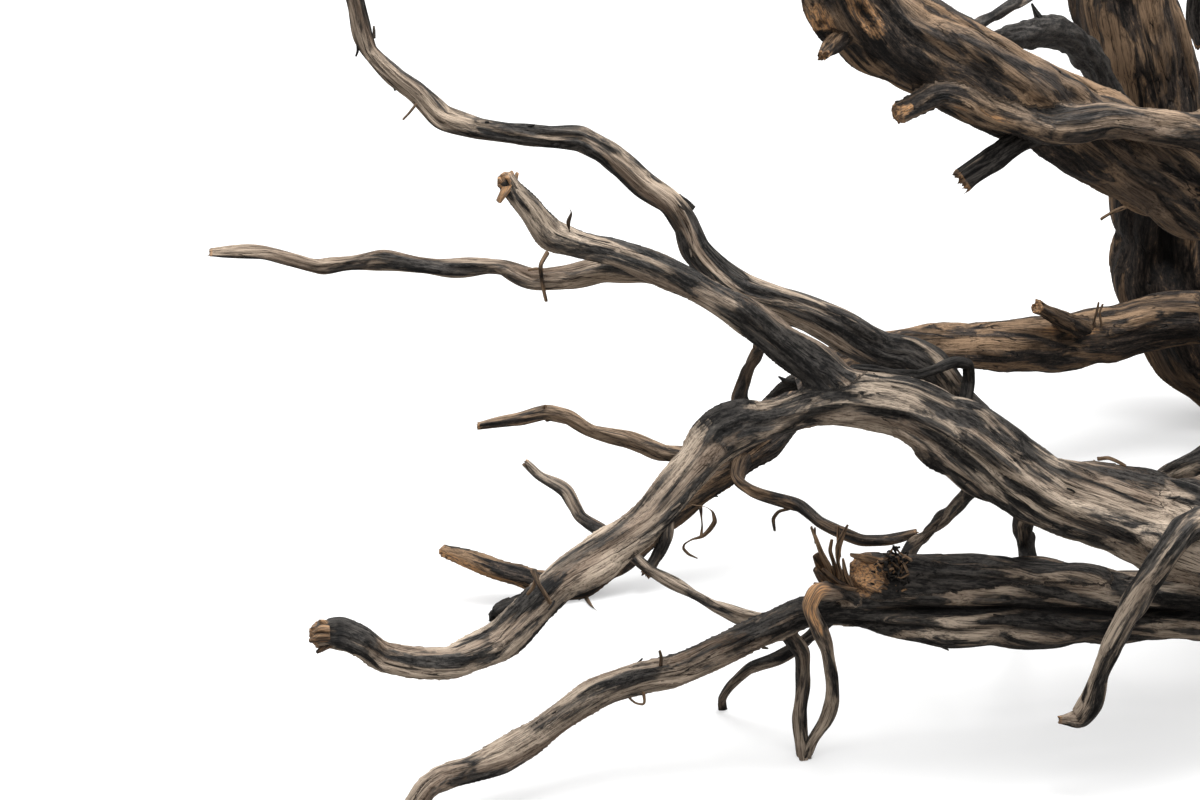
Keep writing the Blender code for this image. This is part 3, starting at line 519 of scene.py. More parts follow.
@dataclass
class Limb:
    """One root: its route of (x, y, z, radius) points, its look, its marks and its tip."""

    route: Route
    look: Look
    tip: Tip = Tip.ROUNDED
    marks: tuple[Mark, ...] = ()
    seed: int = 1
    step: float = FUSED_STEP
    around: int = 96
    place: np.ndarray = field(init=False)
    radius: np.ndarray = field(init=False)
    along: np.ndarray = field(init=False)
    tangent: np.ndarray = field(init=False)
    side: np.ndarray = field(init=False)
    other: np.ndarray = field(init=False)
    skin: np.ndarray = field(init=False)
    tone: dict[str, np.ndarray] = field(init=False)

    def __post_init__(self) -> None:
        """Work out the stations, their frames, the skin table and the tone tables."""
        self.place, self.radius, self.along = smooth_route(self.route, self.step)
        self.tangent, self.side, self.other = frames_along(self.place)
        self.skin, self.tone = self.relief()

    def relief(self) -> tuple[np.ndarray, dict[str, np.ndarray]]:
        """Work out the skin's distance from the centre line at every station and angle.

        radius * (1 + oval * cos(2 * (angle - turn)) + flute * ridged noise + lump * noise)
        + ripple * noise, less each mark's depth * weight. The valleys between flutes get
        painted shade in the dark table: exp(-(5 * flute noise) ** 2).

        Returns:
            The skin table, and the tone tables: dark (painted shade and near-black), heart and char.
        """
        rng = np.random.default_rng(self.seed)
        size = (len(self.radius), self.around)
        angle = np.arange(self.around) * TURN / self.around
        cell = TURN * float(np.mean(self.radius)) / self.around
        per = 1.0 / self.step
        turn = rng.uniform(0.0, math.pi) + 1.2 * blurred(rng, (size[0], 1), (OVAL_TURN_RUN * per, 0.0))
        sizes = (FLUTE_SIZE, LUMP_SIZE, RIPPLE_SIZE)
        flute, lump, ripple = (blurred(rng, size, (run * per, width / cell)) for run, width in sizes)
        flute = twisted(flute, self.along * self.look.twist)
        ripple = twisted(ripple, self.along * self.look.twist)
        shape = 1.0 + self.look.oval * np.cos(2.0 * (angle[None, :] - turn))
        shape = shape + self.look.flute * ridged(flute) + self.look.lump * lump
        skin = self.radius[:, None] * shape + self.look.ripple * ripple
        # Painted shade: the valleys between the flutes are darkened.
        valley_shade = VALLEY_SHADE * np.exp(-((5.0 * flute) ** 2))
        tone = {"dark": np.maximum(valley_shade, self.look.dark)}
        tone["heart"] = np.full(size, self.look.heart)
        tone["char"] = np.full(size, self.look.char)
        for mark in self.marks:
            weight = self.mark_weight(mark, angle)
            skin = skin - mark.depth * weight
            tone["dark"] = np.maximum(tone["dark"] * (1.0 - abs(mark.heart) * weight), mark.dark * weight)
            tone["heart"] = np.maximum(tone["heart"], mark.heart * weight)
            tone["char"] = tone["char"] + mark.char * weight
        return np.maximum(skin, 0.12 * self.radius[:, None]), tone

    def mark_weight(self, mark: Mark, angle: np.ndarray) -> np.ndarray:
        """Work out a mark's strength over the skin table: exp(-along ** steep - around ** 2)."""
        offset = np.asarray(mark.at) - self.place
        near = int(np.argmin(np.linalg.norm(offset, axis=1)))
        reach = offset[near]
        centre = math.atan2(float(reach @ self.other[near]), float(reach @ self.side[near]))
        gap = (angle - centre + math.pi) % TURN - math.pi
        across = gap[None, :] * self.radius[:, None] / mark.width
        run = np.abs(self.along - self.along[near]) / mark.length
        return np.exp(-(run[:, None] ** mark.steep) - across**2)

    def look_up(self, table: np.ndarray, row: np.ndarray, angle: np.ndarray) -> np.ndarray:
        """Read a table at some rows and angles, in a straight line between its columns."""
        column = (angle % TURN) * (self.around / TURN)
        first = column.astype(np.int32)
        share = column - first
        first = first % self.around
        return table[row, first] * (1.0 - share) + table[row, (first + 1) % self.around] * share

    def in_wood(self, row: np.ndarray, points: np.ndarray) -> tuple[np.ndarray, dict[str, np.ndarray]]:
        """Work out where points lie in the wood, and their tones.

        The grain is the offset to the side and to the other side, turned back by the
        root's twist, and the distance along the root.

        Args:
            row: The station nearest to each point.
            points: The points.

        Returns:
            Each point's angle around the root, and its attributes.
        """
        offset = points - self.place[row]
        a = (offset * self.side[row]).sum(axis=1)
        b = (offset * self.other[row]).sum(axis=1)
        run = self.along[row] + (offset * self.tangent[row]).sum(axis=1)
        turn = run * self.look.twist
        spot = 0.37 * self.seed
        grain = [a * np.cos(turn) + b * np.sin(turn) + spot, b * np.cos(turn) - a * np.sin(turn), run]
        angle = np.arctan2(b, a)
        marks = {name: self.look_up(table, row, angle) for name, table in self.tone.items()}
        if self.tip is Tip.BROKEN:
            torn = np.clip((run - self.along[-1] + 0.0035) / 0.002, 0.0, 1.0)
            marks["heart"] = np.maximum(marks["heart"], torn * self.look.tip_heart)
        marks["brown"] = np.full(len(points), self.look.brown)
        marks["grain"] = np.stack(grain, axis=1) / self.look.broad
        return angle, marks


def smooth_route(route: Route, step: float) -> tuple[np.ndarray, np.ndarray, np.ndarray]:
    """Run a smooth curve through a route's points.

    A cubic between neighbours: h00 p0 + h10 g m0 + h01 p1 + h11 g m1, where g is their
    distance and each slope m is the mean of its two chords' slopes, the nearer one heavier,
    times TAUT, which pulls the bends into corners.

    Args:
        route: The (x, y, z, radius) points.
        step: The distance between stations.

    Returns:
        The stations' places, their radii, and how far along the root they are.
    """
    knots = np.array(route, dtype=float)
    gap = np.linalg.norm(np.diff(knots[:, :3], axis=0), axis=1)
    chord = np.diff(knots, axis=0) / gap[:, None]
    share = (gap[:-1] / (gap[:-1] + gap[1:]))[:, None]
    slope = TAUT * np.vstack([chord[:1], chord[:-1] * (1.0 - share) + chord[1:] * share, chord[-1:]])
    reach = np.concatenate([[0.0], np.cumsum(gap)])
    along = np.linspace(0.0, reach[-1], max(8, int(math.ceil(reach[-1] / step)) + 1))
    span = np.clip(np.searchsorted(reach, along, side="right") - 1, 0, len(gap) - 1)
    u = ((along - reach[span]) / gap[span])[:, None]
    width = gap[span][:, None]
    curve = (2 * u**3 - 3 * u**2 + 1) * knots[span] + (u**3 - 2 * u**2 + u) * width * slope[span]
    curve = curve + (3 * u**2 - 2 * u**3) * knots[span + 1] + (u**3 - u**2) * width * slope[span + 1]
    return curve[:, :3], np.maximum(curve[:, 3], 0.8 * knots[:, 3].min()), along


def frames_along(place: np.ndarray) -> tuple[np.ndarray, np.ndarray, np.ndarray]:
    """Work out a square frame at every station.

    The tangent is the curve's direction. The side is the normal of the plane that fits the
    route best, made square to the tangent, and the other side completes the frame.

    Args:
        place: The stations' places.

    Returns:
        The tangents, the sides and the other sides.
    """
    tangent = np.gradient(place, axis=0)
    tangent /= np.linalg.norm(tangent, axis=1)[:, None]
    flat = np.linalg.svd(place - place.mean(axis=0), full_matrices=False)[2][2]
    side = flat[None, :] - (tangent @ flat)[:, None] * tangent
    side /= np.linalg.norm(side, axis=1)[:, None]
    return tangent, side, np.cross(tangent, side)


def blurred(rng: np.random.Generator, size: tuple[int, int], widths: tuple[float, float]) -> np.ndarray:
    """Make seeded noise with a mean of 0 and a spread of 1, blurred by a Gaussian.

    White noise times exp(-2 pi^2 (frequency * width)^2) in each direction, by Fourier
    transform, so it joins up with itself at its edges.

    Args:
        rng: The random source.
        size: The table's size.
        widths: The blur's width in cells in each direction.
    """
    white = rng.standard_normal(size)
    down = np.fft.fftfreq(size[0])[:, None] * widths[0]
    over = np.fft.fftfreq(size[1])[None, :] * widths[1]
    soft = np.fft.ifft2(np.fft.fft2(white) * np.exp(-2.0 * math.pi**2 * (down**2 + over**2))).real
    soft -= soft.mean()
    return soft / (soft.std() + 1e-9)


def twisted(table: np.ndarray, turn: np.ndarray) -> np.ndarray:
    """Turn each row of a table round by its own angle, in radians."""
    around = table.shape[1]
    shift = (turn / TURN * around)[:, None]
    whole = np.floor(shift).astype(int)
    share = shift - whole
    column = np.arange(around)[None, :] - whole
    one = np.take_along_axis(table, column % around, axis=1)
    two = np.take_along_axis(table, (column - 1) % around, axis=1)
    return one * (1.0 - share) + two * share


def ridged(noise: np.ndarray) -> np.ndarray:
    """Make round ridges with narrow valleys: 0.7 tanh(n) - 0.8 exp(-(4 n)^2) + 0.15."""
    return 0.7 * np.tanh(noise) - 0.8 * np.exp(-((4.0 * noise) ** 2)) + 0.15


def smooth_min(one: np.ndarray, two: np.ndarray, blend: float) -> np.ndarray:
    """Join two distance fields with a fillet: min(a, b) - max(k - |a - b|, 0)^2 / (4 k)."""
    overlap = np.maximum(blend - np.abs(one - two), 0.0)
    return np.minimum(one, two) - overlap * overlap / (4.0 * blend)


def new_object(
    name: str, points: np.ndarray, quads: np.ndarray, triangles: np.ndarray, marks: dict[str, np.ndarray]
) -> bpy.types.Object:
    """Put points and faces into a smooth-shaded mesh object, with attributes on its points.

    Args:
        name: The piece's name.
        points: The points, n by 3.
        quads: Four point numbers a face.
        triangles: Three point numbers a face.
        marks: The attributes by name, a number or a vector for each point.

    Returns:
        The object.
    """
    mesh = bpy.data.meshes.new(name)
    corners = np.concatenate([quads.ravel(), triangles.ravel()]).astype(np.int32)
    starts = np.concatenate([np.arange(len(quads)) * 4, len(quads) * 4 + np.arange(len(triangles)) * 3])
    mesh.vertices.add(len(points))
    mesh.vertices.foreach_set("co", points.astype(np.float32).ravel())
    mesh.loops.add(len(corners))
    mesh.loops.foreach_set("vertex_index", corners)
    mesh.polygons.add(len(starts))
    mesh.polygons.foreach_set("loop_start", starts.astype(np.int32))
    mesh.update(calc_edges=True)
    mesh.validate()
    mesh.shade_smooth()
    for key, values in marks.items():
        kind, part = ("FLOAT_VECTOR", "vector") if values.ndim == 2 else ("FLOAT", "value")
        layer = mesh.attributes.new(key, kind, "POINT")
        layer.data.foreach_set(part, values.astype(np.float32).ravel())
    thing = bpy.data.objects.new(name, mesh)
    bpy.context.scene.collection.objects.link(thing)
    return thing


def mount(thing: bpy.types.Object, material: bpy.types.Material) -> None:
    """Dress a piece, let it ride on the root and hide the CAD part that it stands for."""
    thing.data.materials.append(material)
    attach(thing, BODY)
    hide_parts(NODE)
    LOG.info("%s: %d points, %d faces", thing.name, len(thing.data.vertices), len(thing.data.polygons))


def skin_of(values: np.ndarray, low: np.ndarray, cell: float) -> tuple[np.ndarray, np.ndarray]:
    """Draw the surface where a field on a grid is zero.

    Every grid cell that the surface passes through gets one point, the mean of the places
    where its edges cross zero. Every grid edge that crosses zero gets one quad, between the
    four cells around it, wound so that it faces the positive side.

    Args:
        values: The field, negative inside.
        low: The grid's lowest corner.
        cell: The grid's spacing.

    Returns:
        The points and the quads.
    """
    inside = values < 0.0
    size = np.array(values.shape) - 1
    corners = np.array([(i, j, k) for i in (0, 1) for j in (0, 1) for k in (0, 1)])
    count = np.zeros(size, dtype=np.int8)
    for i, j, k in corners:
        count += inside[i:size[0] + i, j:size[1] + j, k:size[2] + k]
    cells = np.argwhere((count > 0) & (count < 8))
    number = np.full(size, -1, dtype=np.int32)
    number[tuple(cells.T)] = np.arange(len(cells))
    at_corner = np.stack([values[tuple((cells + c).T)] for c in corners], axis=1).astype(np.float64)
    total = np.zeros((len(cells), 3))
    crossings = np.zeros(len(cells))
    for one in range(8):
        for two in range(one + 1, 8):
            if np.abs(corners[one] - corners[two]).sum() != 1:
                continue
            a, b = at_corner[:, one], at_corner[:, two]
            hit = (a < 0.0) != (b < 0.0)
            share = np.where(hit, a / np.where(hit, a - b, 1.0), 0.0)
            spot = corners[one] + share[:, None] * (corners[two] - corners[one])
            total += spot * hit[:, None]
            crossings += hit
    points = low + (cells + total / crossings[:, None]) * cell
    quads = []
    unit = np.eye(3, dtype=int)
    for axis in range(3):
        first, second = unit[(axis + 1) % 3], unit[(axis + 2) % 3]
        here = tuple(slice(0, s + 1 - d) for s, d in zip(size, unit[axis]))
        there = tuple(slice(d, s + 1) for s, d in zip(size, unit[axis]))
        edges = np.argwhere(inside[here] != inside[there])
        around = [edges, edges - first, edges - first - second, edges - second]
        quad = np.stack([number[tuple(a.T)] for a in around], axis=1)
        outward = inside[tuple(edges.T)]
        quads.append(np.where(outward[:, None], quad, quad[:, ::-1]))
    return points, np.concatenate(quads)


@dataclass
class Graft:
    """The first stretch of a root that grows out of a fused skin, and how it sinks in."""

    limb: Limb
    stretch: float
    inset: float = 0.0012


@dataclass
class FusedSkin:
    """Several thick roots grown into one skin.

    Fields: limbs are shown whole; grafts are roots of other pieces whose first stretch
    swells the skin; cell is the field's grid spacing; blend is how wide a crotch's fillet
    is; jag is how uneven a broken tip is.
    """

    name: str
    limbs: list[Limb]
    grafts: list[Graft]
    cell: float
    blend: float
    jag: float = 0.0022

    def build(self) -> bpy.types.Object:
        """Make the skin's mesh with its attributes."""
        low, shape = self.grid()
        values = np.full(shape, FAR, dtype=np.float32)
        for limb, last, inset in self.runs():
            self.stamp(values, low, limb, last, inset)
        points, quads = skin_of(values, low, self.cell)
        points[:, 2] = np.maximum(points[:, 2], 0.0)
        stations = Stations.of([limb for limb, _, _ in self.runs()])
        return new_object(self.name, points, quads, NO_TRIANGLES, stations.sample(points))

    def runs(self) -> list[tuple[Limb, int, float]]:
        """List every root with how many of its stations join the field, and its inset."""
        whole = [(limb, len(limb.radius), 0.0) for limb in self.limbs]
        return whole + [(g.limb, max(3, int(g.stretch / g.limb.step)), g.inset) for g in self.grafts]

    def grid(self) -> tuple[np.ndarray, tuple[int, int, int]]:
        """Work out the grid that holds every limb and graft: its lowest corner and its size."""
        lows = [limb.place[:n].min(axis=0) - limb.skin[:n].max() for limb, n, _ in self.runs()]
        highs = [limb.place[:n].max(axis=0) + limb.skin[:n].max() for limb, n, _ in self.runs()]
        low = np.min(lows, axis=0) - 4 * self.cell
        high = np.max(highs, axis=0) + 4 * self.cell
        low[2] = max(low[2], -2.5 * self.cell)
        return low, tuple(int(c) for c in np.ceil((high - low) / self.cell).astype(int) + 1)

    def stamp(self, values: np.ndarray, low: np.ndarray, limb: Limb, last: int, inset: float) -> None:
        """Join one root to the field, as far as station last.

        The field of a root is the distance to its centre line less the skin's distance at
        that station and angle, plus an inset that grows to three times itself towards the
        last station. The floor cuts every root.
        """
        line = limb.place[:last]
        widest = float(limb.skin[:last].max()) + 4 * self.cell
        start = np.maximum(np.floor((line.min(axis=0) - widest - low) / self.cell).astype(int), 0)
        end = np.ceil((line.max(axis=0) + widest - low) / self.cell).astype(int) + 1
        end = np.minimum(end, values.shape)
        own = np.full(tuple(end - start), FAR, dtype=np.float32)
        base = low + start * self.cell
        for i in range(last - 1):
            self.stamp_stretch(own, base, limb, i, inset + inset * 2.0 * (i / last) ** 2)
        level = (base[2] + np.arange(own.shape[2]) * self.cell).astype(np.float32)
        own = np.maximum(own, -level[None, None, :])
        window = tuple(slice(int(a), int(b)) for a, b in zip(start, end))
        values[window] = smooth_min(values[window], own, self.blend)

    def stamp_stretch(self, own: np.ndarray, base: np.ndarray, limb: Limb, i: int, inset: float) -> None:
        """Lower the root's own field around the stretch between stations i and i + 1.

        A broken tip is cut by a plane across the root with an uneven face.
        """
        start, end = limb.place[i], limb.place[i + 1]
        length = float(np.linalg.norm(end - start))
        reach = float(limb.skin[i:i + 2].max()) + 3 * self.cell
        near = np.maximum(np.floor((np.minimum(start, end) - reach - base) / self.cell).astype(int), 0)
        far = np.ceil((np.maximum(start, end) + reach - base) / self.cell).astype(int) + 1
        far = np.minimum(far, own.shape)
        x, y, z = np.meshgrid(
            *[(base[n] + np.arange(near[n], far[n]) * self.cell - start[n]).astype(np.float32) for n in range(3)],
            indexing="ij",
            sparse=True,
        )
        way = (end - start) / length
        run = (x * way[0] + y * way[1] + z * way[2]) / length
        cut = i + 2 == len(limb.radius) and limb.tip is Tip.BROKEN
        kept = np.clip(run, 0.0, 40.0 if cut else 1.0)
        side, other = limb.side[i], limb.other[i]
        a = x * side[0] + y * side[1] + z * side[2]
        b = x * other[0] + y * other[1] + z * other[2]
        dx, dy, dz = x - kept * length * way[0], y - kept * length * way[1], z - kept * length * way[2]
        column = (np.arctan2(b, a) % np.float32(TURN)) * np.float32(limb.around / TURN)
        first = column.astype(np.int32)
        part = column - first
        first %= limb.around
        second = (first + 1) % limb.around
        share = np.clip(kept, 0.0, 1.0)
        here = limb.skin[i].astype(np.float32)
        there = limb.skin[i + 1].astype(np.float32)
        skin = (here[first] * (1.0 - part) + here[second] * part) * (1.0 - share)
        skin += (there[first] * (1.0 - part) + there[second] * part) * share
        distance = np.sqrt(dx * dx + dy * dy + dz * dz) - skin + np.float32(inset)
        if cut:
            jag = self.jag * (np.sin(a * 1900.0 + 1.0) * np.sin(b * 1500.0) + np.sin((a + b) * 800.0))
            distance = np.maximum(distance, (run - 1.0) * length + jag)
        window = tuple(slice(int(n), int(f)) for n, f in zip(near, far))
        own[window] = np.minimum(own[window], distance)


@dataclass
class Stations:
    """Every station of several roots, in one table, for finding the nearest."""

    limbs: list[Limb]
    place: np.ndarray
    radius: np.ndarray
    owner: np.ndarray
    row: np.ndarray

    @classmethod
    def of(cls, limbs: list[Limb]) -> "Stations":
        """Gather the stations of some roots."""
        owner = np.concatenate([np.full(len(limb.radius), n) for n, limb in enumerate(limbs)])
        row = np.concatenate([np.arange(len(limb.radius)) for limb in limbs])
        place = np.concatenate([limb.place for limb in limbs]).astype(np.float32)
        radius = np.concatenate([limb.radius for limb in limbs]).astype(np.float32)
        return cls(limbs, place, radius, owner, row)

    def nearest(self, points: np.ndarray) -> np.ndarray:
        """Find, for each point, the station with the least distance less radius."""
        found = np.empty(len(points), dtype=int)
        square = (self.place**2).sum(axis=1)
        for start in range(0, len(points), SEARCH_BATCH):
            some = points[start:start + SEARCH_BATCH].astype(np.float32)
            reach = (some**2).sum(axis=1)[:, None] - 2.0 * some @ self.place.T + square[None, :]
            found[start:start + SEARCH_BATCH] = np.argmin(np.sqrt(np.maximum(reach, 0.0)) - self.radius, axis=1)
        return found

    def sample(self, points: np.ndarray) -> dict[str, np.ndarray]:
        """Work out the attributes that the wood finish reads, for each point."""
        found = self.nearest(points)
        made = {name: np.zeros(len(points)) for name in ("char", "brown", "dark", "heart")}
        made["grain"] = np.zeros((len(points), 3))
        for n, limb in enumerate(self.limbs):
            mine = np.flatnonzero(self.owner[found] == n)
            _, marks = limb.in_wood(self.row[found[mine]], points[mine])
            for name, values in marks.items():
                made[name][mine] = values
        return made


@dataclass
class SweptRoots:
    """Thin roots of one region, each a ring profile swept along its route, in one mesh."""

    name: str
    limbs: list[Limb]
    around: int

    def build(self) -> bpy.types.Object:
        """Make the mesh with its attributes."""
        points, quads, triangles, marks = [], [], [], []
        count = 0
        for limb in self.limbs:
            rings, row = self.rings(limb)
            some, four, three = tube(rings)
            points.append(some)
            quads.append(four + count)
            triangles.append(three + count)
            rows = np.concatenate([np.repeat(row, self.around), [0, len(limb.radius) - 1]])
            marks.append(limb.in_wood(rows, some)[1])
            count += len(some)
        joined = {key: np.concatenate([m[key] for m in marks]) for key in marks[0]}
        return new_object(
            self.name, np.concatenate(points), np.concatenate(quads), np.concatenate(triangles), joined
        )

    def rings(self, limb: Limb) -> tuple[np.ndarray, np.ndarray]:
        """Work out a root's rings and the station of each ring.

        Ring point = place + skin * (cos(angle) side + sin(angle) other). The last rings draw
        in to close the tip: over half a ball if it is rounded, or flat and uneven if broken.
        """
        angle = np.arange(self.around) * TURN / self.around
        rows = np.arange(len(limb.radius))
        skin = limb.look_up(limb.skin, rows[:, None], angle[None, :])
        out = np.cos(angle)[None, :, None] * limb.side[:, None, :]
        out = out + np.sin(angle)[None, :, None] * limb.other[:, None, :]
        body = limb.place[:, None, :] + skin[:, :, None] * out
        if limb.tip is Tip.BROKEN:
            width, lift, rough = np.array([0.95, 0.8, 0.5, 0.2]), np.array([0.1, 0.1, 0.0, 0.05]), 0.3
        else:
            bow = np.array([0.35, 0.75, 1.15, 1.42])
            width, lift, rough = np.cos(bow), np.sin(bow), 0.0
        rng = np.random.default_rng(limb.seed + 77)
        ahead = lift[:, None] + rough * rng.standard_normal((len(width), self.around)) * width[:, None]
        end = limb.place[-1] + width[:, None, None] * skin[-1][None, :, None] * out[-1][None, :, :]
        end = end + (limb.radius[-1] * ahead)[:, :, None] * limb.tangent[-1]
        rings = np.concatenate([body, end])
        rings[:, :, 2] = np.maximum(rings[:, :, 2], 0.0)
        return rings, np.concatenate([rows, np.full(len(end), rows[-1])])


def tube(rings: np.ndarray) -> tuple[np.ndarray, np.ndarray, np.ndarray]:
    """Join rings of points into a closed tube, with a fan at each end.

    Args:
        rings: The rings' points, rings by around by 3, turning right-handed about the path.

    Returns:
        The points, the quads and the triangles.
    """
    count, around = rings.shape[:2]
    points = np.concatenate([rings.reshape(-1, 3), [rings[0].mean(axis=0), rings[-1].mean(axis=0)]])
    row = (np.arange(count - 1) * around)[:, None]
    here = np.arange(around)
    after = (here + 1) % around
    quads = np.stack(
        [row + here[None, :], row + after[None, :], row + around + after[None, :], row + around + here[None, :]],
        axis=-1,
    ).reshape(-1, 4)
    end = (count - 1) * around
    start_fan = np.stack([np.full(around, count * around), after, here], axis=1)
    end_fan = np.stack([np.full(around, count * around + 1), end + here, end + after], axis=1)
    return points, quads, np.concatenate([start_fan, end_fan])


Socket = bpy.types.NodeSocket
Colour = tuple[float, float, float, float]


@dataclass(frozen=True)
class Noise:
    """A cloud noise stretched along the grain: its clouds a metre across and along it."""

    across: float
    along: float
    detail: float = 2.0
    rough: float = 0.5
    bend: float = 0.0


class NodeSheet:
    """A material's node tree, with short ways to add its nodes."""

    def __init__(self, name: str) -> None:
        """Start a material that has only its surface shader and output."""
        self.material = bpy.data.materials.new(name)
        self.material.use_nodes = True
        self.tree = self.material.node_tree
        self.shader = self.tree.nodes["Principled BSDF"]

    def put(self, socket: Socket, value: object) -> None:
        """Link a socket to a value if the value is a socket too, else set it."""
        if isinstance(value, Socket):
            self.tree.links.new(value, socket)
        else:
            socket.default_value = value

    def attribute(self, name: str, output: str = "Fac") -> Socket:
        """Read an attribute of the mesh's points."""
        node = self.tree.nodes.new("ShaderNodeAttribute")
        node.attribute_name = name
        return node.outputs[output]

    def noise(self, vector: Socket, noise: Noise) -> Socket:
        """Add cloud noise, 0 to 1, on a vector stretched by the noise's two scales."""
        stretch = self.tree.nodes.new("ShaderNodeVectorMath")
        stretch.operation = "MULTIPLY"
        self.put(stretch.inputs[0], vector)
        stretch.inputs[1].default_value = (noise.across, noise.across, noise.along)
        node = self.tree.nodes.new("ShaderNodeTexNoise")
        self.put(node.inputs["Vector"], stretch.outputs[0])
        node.inputs["Scale"].default_value = 1.0
        node.inputs["Detail"].default_value = noise.detail
        node.inputs["Roughness"].default_value = noise.rough
        node.inputs["Distortion"].default_value = noise.bend
        return node.outputs["Fac"]

    def work(self, operation: str, *values: object) -> Socket:
        """Work out one number from up to three, by the named operation."""
        node = self.tree.nodes.new("ShaderNodeMath")
        node.operation = operation
        for socket, value in zip(node.inputs, values):
            self.put(socket, value)
        return node.outputs[0]

    def plus(self, value: Socket, share: float, other: object) -> Socket:
        """Work out value * share + other."""
        return self.work("MULTIPLY_ADD", value, share, other)

    def times(self, one: object, two: object) -> Socket:
        """Multiply two numbers."""
        return self.work("MULTIPLY", one, two)

    def ramp(self, value: Socket, edge: Edge, start: float = 0.0, end: float = 1.0) -> Socket:
        """Turn an edge's low to high into start to end, in a smooth step."""
        node = self.tree.nodes.new("ShaderNodeMapRange")
        node.interpolation_type = "SMOOTHSTEP"
        for socket, number in zip(node.inputs, (value, *edge, start, end)):
            self.put(socket, number)
        return node.outputs[0]

    def mix(self, share: object, one: object, two: object) -> Socket:
        """Mix two colours."""
        node = self.tree.nodes.new("ShaderNodeMix")
        node.data_type = "RGBA"
        for number, value in ((0, share), (6, one), (7, two)):
            self.put(node.inputs[number], value)
        return node.outputs[2]


@dataclass(frozen=True)
class Patterns:
    """The noises that the wood's colours and relief share, and how brown the wood is."""

    grain: Socket
    fibre: Socket
    hair: Socket
    speck: Socket
    cloud: Socket
    browned: Socket


